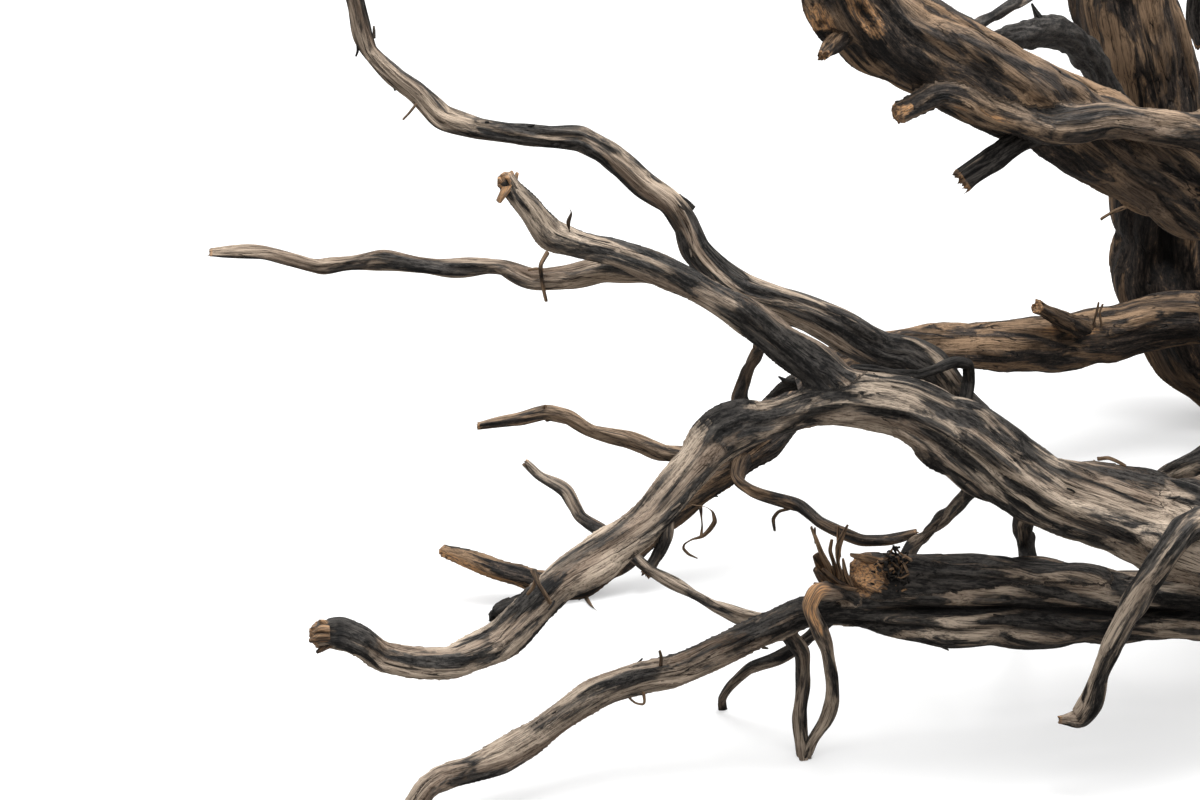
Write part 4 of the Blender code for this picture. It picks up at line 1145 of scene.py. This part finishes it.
@dataclass(frozen=True)
class DryWood:
    """Dry root wood: tan, grey-brown or bark-brown fibres, partly charred to a soft black.

    Each edge is where one colour gives way to the next, as a low and a high noise level.
    """

    tan: Colour = (0.640, 0.520, 0.405, 1.0)
    brown: Colour = (0.205, 0.144, 0.103, 1.0)
    umber: Colour = (0.022, 0.015, 0.011, 1.0)
    warm: Colour = (0.370, 0.243, 0.148, 1.0)
    bark: Colour = (0.056, 0.039, 0.028, 1.0)
    bark_char: Colour = (0.066, 0.051, 0.042, 1.0)
    slate: Colour = (0.078, 0.070, 0.063, 1.0)
    ash: Colour = (0.150, 0.132, 0.112, 1.0)
    coal: Colour = (0.0080, 0.0074, 0.0070, 1.0)
    # Near-black for painted shade in cracks, pits, hollows and flute valleys.
    shade_soot_black: Colour = (0.0065, 0.006, 0.006, 1.0)
    fresh: Colour = (0.760, 0.420, 0.200, 1.0)
    fibres: Noise = Noise(620.0, 26.0, 4.0, 0.62, 0.4)
    hairs: Noise = Noise(1700.0, 55.0, 3.0, 0.65)
    specks: Noise = Noise(520.0, 190.0, 5.0, 0.78)
    clouds: Noise = Noise(40.0, 9.0)
    patches: Noise = Noise(72.0, 12.0, 4.0, 0.56, 1.0)
    drifts: Noise = Noise(16.0, 6.5, 1.0)
    streaks: Noise = Noise(240.0, 26.0, 3.0, 0.6, 0.6)
    checks: Noise = Noise(150.0, 7.0, 2.0, 0.4)
    check_places: Noise = Noise(60.0, 14.0, 1.0)
    strands: Noise = Noise(700.0, 70.0, 3.0, 0.6)
    char_edge: Edge = (0.440, 0.560)
    brown_edge: Edge = (0.45, 0.85)
    tan_edge: Edge = (0.46, 0.86)
    line_edge: Edge = (0.42, 0.54)
    slate_edge: Edge = (0.53, 0.72)
    ash_edge: Edge = (0.70, 0.86)
    check_edge: Edge = (0.004, 0.017)
    check_place_edge: Edge = (0.48, 0.60)
    heart_edge: Edge = (0.55, 0.85)
    fresh_edge: Edge = (0.58, 0.78)
    shade_soot_edge: Edge = (0.08, 0.9)
    bare_rough: float = 0.72
    char_rough: float = 0.56
    gloss: float = 0.19
    relief: float = 0.0018

    def build(self) -> bpy.types.Material:
        """Make the material.

        Charred patches are long cloud noise with frayed edges, raised by the char level.
        Between them is bare wood, and drying checks cut both; the checks are painted
        near-black, which is painted shade in the cracks. Torn places show fresh wood, and the
        dark attribute mixes in near-black: painted shade in hollows, cracks, pits and flute
        valleys, and the near-black that some roots have all over.
        """
        sheet = NodeSheet(SLOT)
        p = self.patterns(sheet)
        fray = sheet.plus(p.fibre, 0.20, sheet.plus(p.speck, 0.20, -0.20))
        level = sheet.plus(sheet.attribute("char"), 0.44, -0.22)
        drift = sheet.plus(sheet.noise(p.grain, self.drifts), 0.42, -0.21)
        frayed = sheet.work("ADD", sheet.noise(p.grain, self.patches), fray)
        char = sheet.ramp(sheet.work("ADD", frayed, sheet.work("ADD", level, drift)), self.char_edge)
        colour = sheet.mix(char, self.bare_wood(sheet, p), self.burnt_wood(sheet, p))
        check = self.drying_check(sheet, p)
        # Painted shade: the drying checks are mixed towards near-black.
        colour = sheet.mix(sheet.times(check, 0.85), colour, self.shade_soot_black)
        heart = sheet.ramp(sheet.plus(p.fibre, 0.5, sheet.attribute("heart")), self.heart_edge)
        colour = sheet.mix(heart, colour, self.torn_wood(sheet, p))
        # Painted shade in hollows, cracks, pits and flute valleys, from the dark attribute, with the all-over
        # near-black of some roots.
        hollow = sheet.times(sheet.attribute("dark"), sheet.ramp(p.fibre, (0.2, 0.6), 1.15, 0.85))
        colour = sheet.mix(sheet.ramp(hollow, self.shade_soot_edge), colour, self.shade_soot_black)
        sheet.put(sheet.shader.inputs["Base Color"], colour)
        shine = sheet.ramp(char, (0.0, 1.0), self.bare_rough, self.char_rough)
        sheet.put(sheet.shader.inputs["Roughness"], shine)
        sheet.shader.inputs["Specular IOR Level"].default_value = self.gloss
        self.add_relief(sheet, p, char, check)
        return sheet.material

    def patterns(self, sheet: NodeSheet) -> Patterns:
        """Add the shared noises. The wood is browner by its level plus half the cloud."""
        grain = sheet.attribute("grain", "Vector")
        names = (self.fibres, self.hairs, self.specks, self.clouds)
        fibre, hair, speck, cloud = (sheet.noise(grain, noise) for noise in names)
        browned = sheet.ramp(sheet.plus(cloud, 0.5, sheet.attribute("brown")), self.brown_edge)
        return Patterns(grain, fibre, hair, speck, cloud, browned)

    def bare_wood(self, sheet: NodeSheet, p: Patterns) -> Socket:
        """Colour the bare wood: tan to brown by cloud, or bark to warm where it is browned.

        Fine dark lines follow hair and fibre.
        """
        soft = sheet.plus(p.fibre, 0.34, sheet.times(p.speck, 0.18))
        tone = sheet.ramp(sheet.plus(p.cloud, 0.85, soft), self.tan_edge)
        wood = sheet.mix(p.browned, sheet.mix(tone, self.brown, self.tan), sheet.mix(tone, self.bark, self.warm))
        lines = sheet.ramp(sheet.plus(p.hair, 0.6, sheet.times(p.fibre, 0.45)), self.line_edge, 0.30)
        return sheet.mix(lines, self.umber, wood)

    def burnt_wood(self, sheet: NodeSheet, p: Patterns) -> Socket:
        """Colour the charred wood: coal to slate, or brown char, by long streaks and specks."""
        streak = sheet.noise(p.grain, self.streaks)
        level = sheet.plus(p.speck, 0.62, sheet.times(streak, 0.62))
        pale = sheet.mix(p.browned, self.slate, self.bark_char)
        skin = sheet.mix(sheet.ramp(level, self.slate_edge), self.coal, pale)
        return sheet.mix(sheet.ramp(level, self.ash_edge), skin, sheet.mix(p.browned, self.ash, self.warm))

    def drying_check(self, sheet: NodeSheet, p: Patterns) -> Socket:
        """Find the long thin drying cracks: where long noise crosses its middle, in some places."""
        crossing = sheet.work("SUBTRACT", sheet.noise(p.grain, self.checks), 0.5)
        line = sheet.ramp(sheet.work("ABSOLUTE", crossing), self.check_edge, 1.0, 0.0)
        return sheet.times(line, sheet.ramp(sheet.noise(p.grain, self.check_places), self.check_place_edge))

    def torn_wood(self, sheet: NodeSheet, p: Patterns) -> Socket:
        """Colour the torn wood: fresh orange-tan fibres with brown ones between them."""
        strand = sheet.plus(p.hair, 0.4, sheet.noise(p.grain, self.strands))
        return sheet.mix(sheet.ramp(strand, self.fresh_edge), self.brown, self.fresh)

    def add_relief(self, sheet: NodeSheet, p: Patterns, char: Socket, check: Socket) -> None:
        """Raise the surface by fibre, hair, speck and charred skin, and cut the checks in."""
        height = sheet.plus(p.hair, 0.3, sheet.times(p.fibre, 0.8))
        for share, pattern in ((0.35, p.speck), (0.16, char), (-1.1, check)):
            height = sheet.plus(pattern, share, height)
        bump = sheet.tree.nodes.new("ShaderNodeBump")
        bump.inputs["Strength"].default_value = 1.0
        bump.inputs["Distance"].default_value = self.relief
        sheet.put(bump.inputs["Height"], height)
        sheet.put(sheet.shader.inputs["Normal"], bump.outputs["Normal"])


@dataclass(frozen=True)
class Lamp:
    """A soft square lamp: its name, place, width, power in watts and aim."""

    name: str
    place: Point
    width: float
    power: float
    aim: Point

    def build(self) -> None:
        """Hang the lamp so that it faces its aim, out of the camera's sight."""
        lamp = bpy.data.lights.new(self.name, "AREA")
        lamp.shape = "RECTANGLE"
        lamp.size = lamp.size_y = self.width
        lamp.energy = self.power
        hung = bpy.data.objects.new(self.name, lamp)
        hung.location = self.place
        hung.rotation_euler = aimed(self.place, self.aim)
        hung.visible_camera = False
        bpy.context.scene.collection.objects.link(hung)


@dataclass(frozen=True)
class Studio:
    """The pale floor, the soft light and the camera."""

    floor_size: float = 90.0
    floor_colour: Colour = (0.56, 0.56, 0.56, 1.0)
    floor_glow: float = 0.45
    far_glow: float = 1.0
    glow_reach: Edge = (1.3, 5.0)
    bounce_colour: Colour = (0.27, 0.26, 0.25, 1.0)
    sky_colour: Colour = (1.0, 1.0, 1.0, 1.0)
    sky_strength: float = 0.22
    backdrop_strength: float = 0.85
    ceiling_lamp: Lamp = Lamp("ceiling_lamp", (0.0, 0.0, 4.0), 9.0, 490.0, (0.0, 0.0, 0.0))
    key_lamp: Lamp = Lamp("key_lamp", (0.35, 0.15, 3.0), 1.3, 58.0, (-0.1, 0.0, 0.0))
    aim: Point = (-0.36, -0.225, 0.269)
    distance: float = 2.6
    rise: float = math.radians(22.0)
    lens: float = 104.0

    def build(self) -> None:
        """Make the floor, the lights and the camera."""
        scene = bpy.context.scene
        scene.view_settings.view_transform = "Standard"
        self.add_floor()
        self.add_sky(scene)
        self.ceiling_lamp.build()
        self.key_lamp.build()
        self.add_camera(scene)

    def add_floor(self) -> None:
        """Lay the floor, a flat square at a height of nothing, that glows more further out."""
        half = self.floor_size / 2.0
        corners = np.array([(-half, -half, 0.0), (half, -half, 0.0), (half, half, 0.0), (-half, half, 0.0)])
        floor = new_object("studio_floor", corners, np.array([[0, 1, 2, 3]]), NO_TRIANGLES, {})
        sheet = NodeSheet("studio_floor_paint")
        seen = sheet.tree.nodes.new("ShaderNodeLightPath").outputs["Is Camera Ray"]
        sheet.put(sheet.shader.inputs["Base Color"], sheet.mix(seen, self.bounce_colour, self.floor_colour))
        sheet.shader.inputs["Emission Color"].default_value = self.sky_colour
        away = sheet.tree.nodes.new("ShaderNodeVectorMath")
        away.operation = "LENGTH"
        sheet.put(away.inputs[0], sheet.tree.nodes.new("ShaderNodeTexCoord").outputs["Object"])
        glow = sheet.ramp(away.outputs["Value"], self.glow_reach, self.floor_glow, self.far_glow)
        sheet.put(sheet.shader.inputs["Emission Strength"], sheet.times(seen, glow))
        sheet.material.cycles.emission_sampling = "NONE"
        sheet.shader.inputs["Roughness"].default_value = 0.9
        sheet.shader.inputs["Specular IOR Level"].default_value = 0.0
        floor.data.materials.append(sheet.material)

    def add_sky(self, scene: bpy.types.Scene) -> None:
        """Light everything evenly from all around, with a brighter backdrop for the camera."""
        sky = bpy.data.worlds.new("studio_sky")
        sky.use_nodes = True
        tree = sky.node_tree
        fill = tree.nodes["Background"]
        seen = tree.nodes.new("ShaderNodeBackground")
        for back, strength in ((fill, self.sky_strength), (seen, self.backdrop_strength)):
            back.inputs["Color"].default_value = self.sky_colour
            back.inputs["Strength"].default_value = strength
        pick = tree.nodes.new("ShaderNodeMixShader")
        ray = tree.nodes.new("ShaderNodeLightPath")
        tree.links.new(ray.outputs["Is Camera Ray"], pick.inputs[0])
        tree.links.new(fill.outputs[0], pick.inputs[1])
        tree.links.new(seen.outputs[0], pick.inputs[2])
        tree.links.new(pick.outputs[0], tree.nodes["World Output"].inputs["Surface"])
        scene.world = sky

    def add_camera(self, scene: bpy.types.Scene) -> None:
        """Set the camera before the root, a little above it."""
        lens = bpy.data.cameras.new("camera")
        lens.lens = self.lens
        lens.sensor_width = 36.0
        eye = bpy.data.objects.new("camera", lens)
        back, up = self.distance * math.cos(self.rise), self.distance * math.sin(self.rise)
        eye.location = (self.aim[0], self.aim[1] - back, self.aim[2] + up)
        eye.rotation_euler = (math.pi / 2.0 - self.rise, 0.0, 0.0)
        scene.collection.objects.link(eye)
        scene.camera = eye


def aimed(place: Point, aim: Point) -> Point:
    """Work out the turn that points a lamp's face from its place to its aim."""
    x, y, z = (aim[n] - place[n] for n in range(3))
    return (math.atan2(math.hypot(x, y), -z), 0.0, math.atan2(-x, y))


BIG_ROOTS = {
    "front_root": (FRONT_ROOTS, Look(0.46, 0.12, flute=0.14), Tip.BROKEN, 11),
    "low_root": (LOW_ROOTS, Look(0.47, 0.12, flute=0.10), Tip.ROUNDED, 21),
    "rear_root": (REAR_ROOTS, Look(0.54, 0.75, dark=0.12), Tip.BROKEN, 31),
    "rear_trunk": (REAR_ROOTS, Look(0.46, 0.80, flute=0.10, tip_heart=0.28, broad=1.4), Tip.BROKEN, 38),
    "top_root": (TOP_ROOTS, Look(0.45, 0.52, flute=0.11), Tip.BROKEN, 41),
    "forward_root": (TOP_ROOTS, Look(0.54, 0.42), Tip.BROKEN, 42),
    "slab_stub": (FRONT_ROOTS, Look(0.62, 0.3, flute=0.15, ripple=0.0014), Tip.BROKEN, 13),
}


def big_root(name: str, marks: tuple[Mark, ...] = ()) -> Limb:
    """Make a big root, which its own region shows whole and the crown's skin grafts in."""
    routes, look, tip, seed = BIG_ROOTS[name]
    return Limb(routes[name], look, tip, marks, seed)


def swept(route: Route, look: Look, seed: int, tip: Tip = Tip.BROKEN, marks: tuple[Mark, ...] = ()) -> Limb:
    """Make a root whose stations are close enough for a swept grid."""
    return Limb(route, look, tip, marks, seed, SWEPT_STEP)


@dataclass
class FrontWood:
    """The front root with its fork, and the thin roots and legs that grow from it."""

    cell: float = 0.00224
    blend: float = 0.009
    marks: tuple[Mark, ...] = (
        Mark((-0.272, -0.313, 0.292), 0.015, 0.015, -0.0045, dark=0.5, char=0.9),
        Mark((-0.118, -0.295, 0.250), 0.006, 0.004, -0.004, dark=0.5),
        Mark((-0.193, -0.300, 0.311), 0.020, 0.014, -0.001, dark=0.5, char=0.5),
        # A pit painted near-black: painted shade in it.
        Mark((-0.399, -0.403, 0.199), 0.010, 0.007, 0.002, dark=0.9),
        Mark((-0.480, -0.440, 0.155), 0.022, 0.010, 0.0, char=0.4),
        Mark((-0.331, -0.361, 0.231), 0.020, 0.007, 0.0, char=-0.5),
        Mark((-0.370, -0.385, 0.205), 0.022, 0.006, 0.0, char=-0.6),
        Mark((-0.543, -0.450, 0.182), 0.005, 0.020, -0.0016, dark=0.8, steep=4.0),
        Mark((-0.532, -0.447, 0.186), 0.016, 0.020, -0.0008, char=0.5, dark=0.2),
        # A pit painted near-black: painted shade in it.
        Mark((-0.516, -0.450, 0.167), 0.006, 0.007, 0.0016, dark=0.6),
        Mark((-0.111, -0.290, 0.252), 0.010, 0.008, -0.0035, dark=0.8, char=0.8),
        Mark((-0.430, -0.425, 0.175), 0.090, 0.060, 0.0, char=-0.12, steep=4.0),
    )
    fork_marks: tuple[Mark, ...] = (
        Mark((-0.210, -0.295, 0.316), 0.026, 0.022, 0.0, dark=0.55, char=0.8),
        Mark((-0.300, -0.262, 0.372), 0.045, 0.010, 0.0, char=-0.3),
    )

    def build(self) -> list[bpy.types.Object]:
        """Build the front root's skin and its thin roots."""
        r = FRONT_ROOTS
        main, slab = big_root("front_root", self.marks), big_root("slab_stub")
        fork = Limb(r["upper_fork"], Look(0.46, 0.12), Tip.BROKEN, self.fork_marks, 12)
        arching = swept(r["arching_root"], Look(0.55, 0.25, flute=0.10), 14, Tip.ROUNDED)
        side = swept(r["side_root"], Look(0.46, 0.30), 15)
        crossing = swept(r["crossing_root"], Look(0.9, 0.1, dark=0.45), 16, Tip.ROUNDED)
        leg = swept(r["front_leg"], Look(0.42, 0.1, dark=0.2), 17)
        strut = swept(r["strut"], Look(0.62, 0.3, dark=0.35), 18)
        back_leg = swept(r["back_leg"], Look(0.42, 0.3, dark=0.35), 19)
        grafts = [Graft(arching, 0.050), Graft(side, 0.022), Graft(leg, 0.030), Graft(strut, 0.022)]
        grafts.append(Graft(back_leg, 0.022))
        skin = FusedSkin("front_root_wood", [main, fork, slab], grafts, self.cell, self.blend)
        thick = SweptRoots("arching_root_wood", [arching, side], 72)
        thin = SweptRoots("front_leg_wood", [crossing, leg, strut, back_leg], 40)
        return [skin.build(), thick.build(), thin.build()]


@dataclass
class LowWood:
    """The low root with its long crack, and its thin legs."""

    cell: float = 0.0019
    blend: float = 0.006
    broken_half: Route = (
        (0.030, -0.232, 0.110, 0.018), (-0.009, -0.236, 0.119, 0.019), (-0.067, -0.243, 0.127, 0.0205),
        (-0.113, -0.249, 0.132, 0.0205), (-0.144, -0.254, 0.136, 0.0185), (-0.158, -0.256, 0.139, 0.0165),
    )
    marks: tuple[Mark, ...] = (
        # The long crack is painted near-black: painted shade in the crack.
        Mark((-0.020, -0.262, 0.112), 0.132, 0.0042, 0.015, dark=1.0, steep=10.0),
        Mark((-0.010, -0.262, 0.090), 0.120, 0.060, 0.0, char=0.22, steep=4.0),
        # A narrow crack painted near-black: painted shade in it.
        Mark((-0.060, -0.262, 0.104), 0.110, 0.0020, 0.004, dark=0.8, steep=8.0),
        Mark((-0.100, -0.251, 0.075), 0.005, 0.004, -0.004, dark=0.4),
        Mark((-0.239, -0.281, 0.097), 0.008, 0.004, -0.0008, char=-0.6),
        Mark((-0.186, -0.272, 0.115), 0.022, 0.020, 0.0, char=0.5, dark=0.4),
        Mark((-0.285, -0.295, 0.087), 0.030, 0.008, 0.0, char=-0.3),
        Mark((-0.330, -0.305, 0.070), 0.120, 0.060, 0.0, char=-0.14, steep=4.0),
    )
    half_marks: tuple[Mark, ...] = (
        Mark((-0.100, -0.262, 0.140), 0.040, 0.016, 0.0, char=0.45, dark=0.2),
        Mark((-0.160, -0.270, 0.147), 0.013, 0.016, 0.005, heart=1.0, steep=4.0),
        # A small patch painted near-black behind the curved leg: painted shade.
        Mark((-0.137, -0.272, 0.146), 0.009, 0.016, -0.0012, dark=0.85, steep=4.0),
        # Two narrow cracks painted near-black: painted shade in them.
        Mark((-0.075, -0.262, 0.122), 0.075, 0.0016, 0.004, dark=0.9, steep=6.0),
        Mark((-0.060, -0.262, 0.138), 0.060, 0.0016, 0.002, dark=0.6, steep=6.0),
    )
    torn_top: tuple[Mark, ...] = (
        Mark((-0.203, -0.308, 0.143), 0.018, 0.012, -0.001, heart=0.62, char=-0.5),
        Mark((-0.200, -0.307, 0.125), 0.016, 0.0035, 0.0, heart=0.8),
    )

    def build(self) -> list[bpy.types.Object]:
        """Build the low root's skin and its thin roots."""
        r = LOW_ROOTS
        main = big_root("low_root", self.marks)
        half = Limb(self.broken_half, Look(0.66, 0.3, flute=0.12), Tip.BROKEN, self.half_marks, 26)
        whip = swept(r["whip_root"], Look(0.48, 0.15, dark=0.3), 22)
        curved = swept(r["curved_leg"], Look(0.42, 0.2, dark=0.2), 23, marks=self.torn_top)
        straight = swept(r["straight_leg"], Look(0.42, 0.15, dark=0.35), 24)
        hooked = swept(r["hooked_leg"], Look(0.5, 0.15, dark=0.4), 25)
        grafts = [Graft(whip, 0.016), Graft(curved, 0.018), Graft(straight, 0.02), Graft(hooked, 0.018)]
        skin = FusedSkin("low_root_wood", [main, half], grafts, self.cell, self.blend)
        thin = SweptRoots("low_leg_wood", [whip, curved, straight, hooked], 32)
        return [skin.build(), thin.build()]


@dataclass
class RearWood:
    """The rear root with its twigs, and the upright rear trunk."""

    cell: float = 0.0021
    trunk_cell: float = 0.0024
    blend: float = 0.010
    marks: tuple[Mark, ...] = (
        Mark((-0.472, -0.012, 0.028), 0.034, 0.0085, 0.0018, heart=1.3, char=-0.5, steep=4.0),
        Mark((-0.440, -0.014, 0.016), 0.026, 0.0070, 0.0012, heart=1.2),
        Mark((-0.440, -0.012, 0.030), 0.030, 0.008, 0.0, char=0.4, dark=0.3),
        Mark((0.043, 0.267, 0.138), 0.030, 0.008, 0.0, heart=0.45, char=-0.3),
        Mark((0.075, 0.280, 0.130), 0.020, 0.005, 0.003, heart=0.6),
        Mark((-0.042, 0.222, 0.141), 0.040, 0.006, 0.0, heart=0.3, char=-0.4),
    )
    hollow: tuple[Mark, ...] = (
        # The hollow's inside is painted near-black: painted shade in the hollow.
        Mark((0.163, 0.367, 0.178), 0.045, 0.017, 0.020, dark=1.0, steep=4.0),
        Mark((0.144, 0.367, 0.198), 0.060, 0.030, 0.0, char=0.8, dark=0.6),
        Mark((0.185, 0.372, 0.120), 0.060, 0.030, 0.0, char=0.6, dark=0.3),
    )

    def build(self) -> list[bpy.types.Object]:
        """Build the rear root's skin, the rear trunk's skin and their thin roots."""
        r = REAR_ROOTS
        main, trunk = big_root("rear_root", self.marks), big_root("rear_trunk", self.hollow)
        frayed = Look(0.95, 0.2, flute=0.35, ripple=0.0016, dark=0.6, tip_heart=0.0)
        foot = Limb(r["rear_foot"], frayed, Tip.BROKEN, seed=32)
        twig = swept(r["rear_twig"], Look(0.40, 0.4, dark=0.3), 33)
        drooping = swept(r["drooping_twig"], Look(0.58, 0.6, dark=0.30), 34)
        rising = swept(r["rising_twig"], Look(0.45, 0.5, dark=0.4), 35)
        hanging = swept(r["hanging_twig"], Look(0.5, 0.3, dark=0.5), 36)
        peg = swept(r["broken_peg"], Look(0.4, 0.8), 37)
        arch = swept(TOP_ROOTS["arch_root"], Look(0.95, 0.1), 39, Tip.ROUNDED)
        grafts = [Graft(twig, 0.030), Graft(drooping, 0.015), Graft(rising, 0.030), Graft(hanging, 0.014)]
        grafts.append(Graft(peg, 0.020))
        skin = FusedSkin("rear_root_wood", [main, foot], grafts, self.cell, self.blend)
        upright = FusedSkin("rear_trunk_wood", [trunk], [], self.trunk_cell, self.blend)
        thin = SweptRoots("rear_twig_wood", [twig, drooping, rising, hanging, peg], 32)
        thick = SweptRoots("arch_root_wood", [arch], 64)
        return [skin.build(), upright.build(), thin.build(), thick.build()]


@dataclass
class TopWood:
    """The top root, the root before it, and their stubs and pegs."""

    cell: float = 0.0021
    blend: float = 0.009
    marks: tuple[Mark, ...] = (
        Mark((-0.199, -0.290, 0.585), 0.011, 0.011, -0.005, heart=0.8, char=-0.5),
        # The knot's pit is painted near-black: painted shade in it.
        Mark((-0.199, -0.292, 0.585), 0.0035, 0.0035, 0.004, dark=0.8),
        Mark((-0.177, -0.296, 0.590), 0.019, 0.010, -0.0015, heart=0.85),
        # The hollow is painted near-black inside: painted shade.
        Mark((-0.177, -0.296, 0.590), 0.014, 0.0048, 0.016, dark=1.0, steep=4.0),
        # A long streak below the ridge: more char, and painted shade.
        Mark((-0.140, -0.280, 0.545), 0.055, 0.009, 0.0, char=0.6, dark=0.55),
        Mark((-0.060, -0.246, 0.500), 0.090, 0.005, 0.0, heart=0.35, char=-0.5, steep=4.0),
        Mark((-0.120, -0.255, 0.565), 0.060, 0.006, 0.0, heart=0.2, char=-0.6),
    )
    forward_marks: tuple[Mark, ...] = (
        Mark((-0.145, -0.293, 0.517), 0.005, 0.004, 0.0015, heart=1.0, steep=4.0),
        Mark((-0.104, -0.272, 0.516), 0.010, 0.004, 0.0, heart=0.7, char=-0.5),
        Mark((-0.078, -0.268, 0.503), 0.026, 0.0035, 0.0, heart=0.6, char=-0.5),
    )

    def build(self) -> list[bpy.types.Object]:
        """Build the top root's skin and its thin roots."""
        r = TOP_ROOTS
        main, forward = big_root("top_root", self.marks), big_root("forward_root", self.forward_marks)
        stub = swept(r["stub_root"], Look(0.8, 0.2), 43)
        thin_top = swept(r["thin_top_root"], Look(0.7, 0.2), 44)
        knot = swept(r["knot_peg"], Look(0.6, 0.7), 45)
        grafts = [Graft(stub, 0.022), Graft(knot, 0.020)]
        skin = FusedSkin("top_root_wood", [main, forward], grafts, self.cell, self.blend)
        thin = SweptRoots("top_stub_wood", [stub, thin_top, knot], 40)
        return [skin.build(), thin.build()]


@dataclass
class CrownWood:
    """The crown with its stump stub, its foot and its two right-hand roots."""

    cell: float = 0.0038
    blend: float = 0.022
    graft_reach: float = 0.17

    def build(self) -> list[bpy.types.Object]:
        """Build the crown's skin with the first stretches of every big root, and the thin roots."""
        look = Look(0.60, 0.66, flute=0.10, lump=0.05, ripple=0.0012, tip_heart=0.28, broad=1.8)
        trunk = Limb(CROWN["trunk"], look, Tip.BROKEN, seed=51, step=0.008, around=192)
        front = Limb(CROWN["right_front_root"], look, seed=52, step=0.006, around=128)
        rear = Limb(CROWN["right_rear_root"], look, seed=53, step=0.006, around=128)
        edge = swept(CROWN["edge_root"], Look(0.9, 0.1), 54, Tip.BROKEN)
        dark = swept(LOW_ROOTS["dark_leg"], Look(0.8, 0.2), 55)
        grafts = [Graft(big_root(name), self.graft_reach, 0.0) for name in BIG_ROOTS]
        grafts += [Graft(dark, 0.08), Graft(edge, 0.09)]
        skin = FusedSkin("crown_wood", [trunk, front, rear], grafts, self.cell, self.blend)
        thin = SweptRoots("crown_twig_wood", [edge, dark], 56)
        return [skin.build(), thin.build()]


@dataclass
class FineWood:
    """Hair roots, torn strands, the fork's brush, chips, spurs, the torn fringe and slivers."""

    fibre_count: int = 130
    fringe_at: Point = (-0.138, -0.268, 0.147)
    fringe_spread: float = 0.010
    fringe_shape: Point = (0.55, 0.3, 0.8)
    fringe_way: Point = (-0.5, -0.6, 0.35)
    fibre_size: Edge = (0.0035, 0.0085)
    fibre_thick: Edge = (0.0004, 0.0009)
    sliver_count: int = 90
    sliver_size: Edge = (0.003, 0.010)
    sliver_thick: Edge = (0.0003, 0.0008)

    def build(self) -> list[bpy.types.Object]:
        """Build the hair roots, strands, brush, chips and spurs, then the fringe and slivers."""
        hair = Look(0.30, 0.7, oval=0.1, flute=0.1)
        torn = Look(0.45, 0.6, oval=0.25, flute=0.30, ripple=0.0005, heart=0.36)
        brush = Look(0.1, 0.4, oval=0.2, flute=0.2, heart=0.5)
        spur = Look(0.8, 0.3, flute=0.25, dark=0.35)
        groups = (
            ("hair_roots", HAIR_ROOTS, hair, 61),
            ("torn_strands", TORN_STRANDS, torn, 71),
            ("fork_brush", FORK_BRUSH, brush, 91),
            ("tip_chips", TIP_CHIPS, torn, 431),
            ("root_spurs", ROOT_SPURS, spur, 401),
        )
        pieces = []
        for name, routes, look, seed in groups:
            limbs = [
                Limb(route, look, seed=seed + n, step=FINE_STEP, around=24) for n, route in enumerate(routes.values())
            ]
            pieces.append(SweptRoots(name, limbs, 12).build())
        pieces.append(SweptRoots("torn_fringe", self.fringe(), 6).build())
        pieces.append(SweptRoots("loose_slivers", self.slivers(), 6).build())
        return pieces

    def fringe(self) -> list[Limb]:
        """Lay short charred fibres over the broken half's edge, each a seeded bent line."""
        rng = np.random.default_rng(101)
        limbs = []
        for n in range(self.fibre_count):
            spread = rng.normal(0.0, 1.0, 3) * self.fringe_spread * np.array(self.fringe_shape)
            start = np.array(self.fringe_at) + spread
            way = np.array(self.fringe_way) + rng.normal(0.0, 0.45, 3)
            way /= np.linalg.norm(way)
            bend = rng.normal(0.0, 0.0012, 3)
            size, thick = rng.uniform(*self.fibre_size), rng.uniform(*self.fibre_thick)
            route = [
                (*(start - way * 0.004), thick),
                (*(start + way * size * 0.5 + bend), thick * 0.85),
                (*(start + way * size), thick * 0.45),
            ]
            look = Look(0.9, 0.2, dark=0.5) if n % 3 else Look(0.1, 0.4, heart=0.45)
            limbs.append(Limb(route, look, seed=110 + n, step=SWEPT_STEP, around=16))
        return limbs

    def slivers(self) -> list[Limb]:
        """Raise thin slivers off the big roots, each leaving the skin at a low angle."""
        rng = np.random.default_rng(202)
        hosts = [FRONT_ROOTS["front_root"], FRONT_ROOTS["arching_root"], LOW_ROOTS["low_root"]]
        hosts += [TOP_ROOTS["top_root"], REAR_ROOTS["rear_root"], REAR_ROOTS["rear_trunk"]]
        limbs = []
        for n in range(self.sliver_count):
            place, radius, _ = smooth_route(hosts[n % len(hosts)], FUSED_STEP)
            tangent, side, other = frames_along(place)
            i = int(rng.uniform(0.25, 0.97) * len(radius))
            turn = rng.uniform(0.0, TURN)
            out = math.cos(turn) * side[i] + math.sin(turn) * other[i]
            size, thick = rng.uniform(*self.sliver_size), rng.uniform(*self.sliver_thick)
            way = tangent[i] * rng.choice([-1.0, 1.0]) * size
            start = place[i] + out * radius[i] * 0.93
            middle = start + way * 0.6 + out * (0.07 * radius[i] + 0.15 * size)
            end = start + way + out * (0.07 * radius[i] + rng.uniform(0.2, 0.6) * size)
            route = [(*start, thick), (*middle, thick), (*end, thick * 0.4)]
            limbs.append(Limb(route, Look(0.7, 0.2), seed=300 + n, step=SWEPT_STEP, around=12))
        return limbs


def main() -> None:
    """Build the root's woods in order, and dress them."""
    logging.basicConfig(level=logging.INFO, format="%(message)s")
    Studio().build()
    wood = DryWood().build()
    for region in (CrownWood(), FrontWood(), LowWood(), RearWood(), TopWood(), FineWood()):
        for piece in region.build():
            mount(piece, wood)
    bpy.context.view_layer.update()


if __name__ == "__main__":
    main()
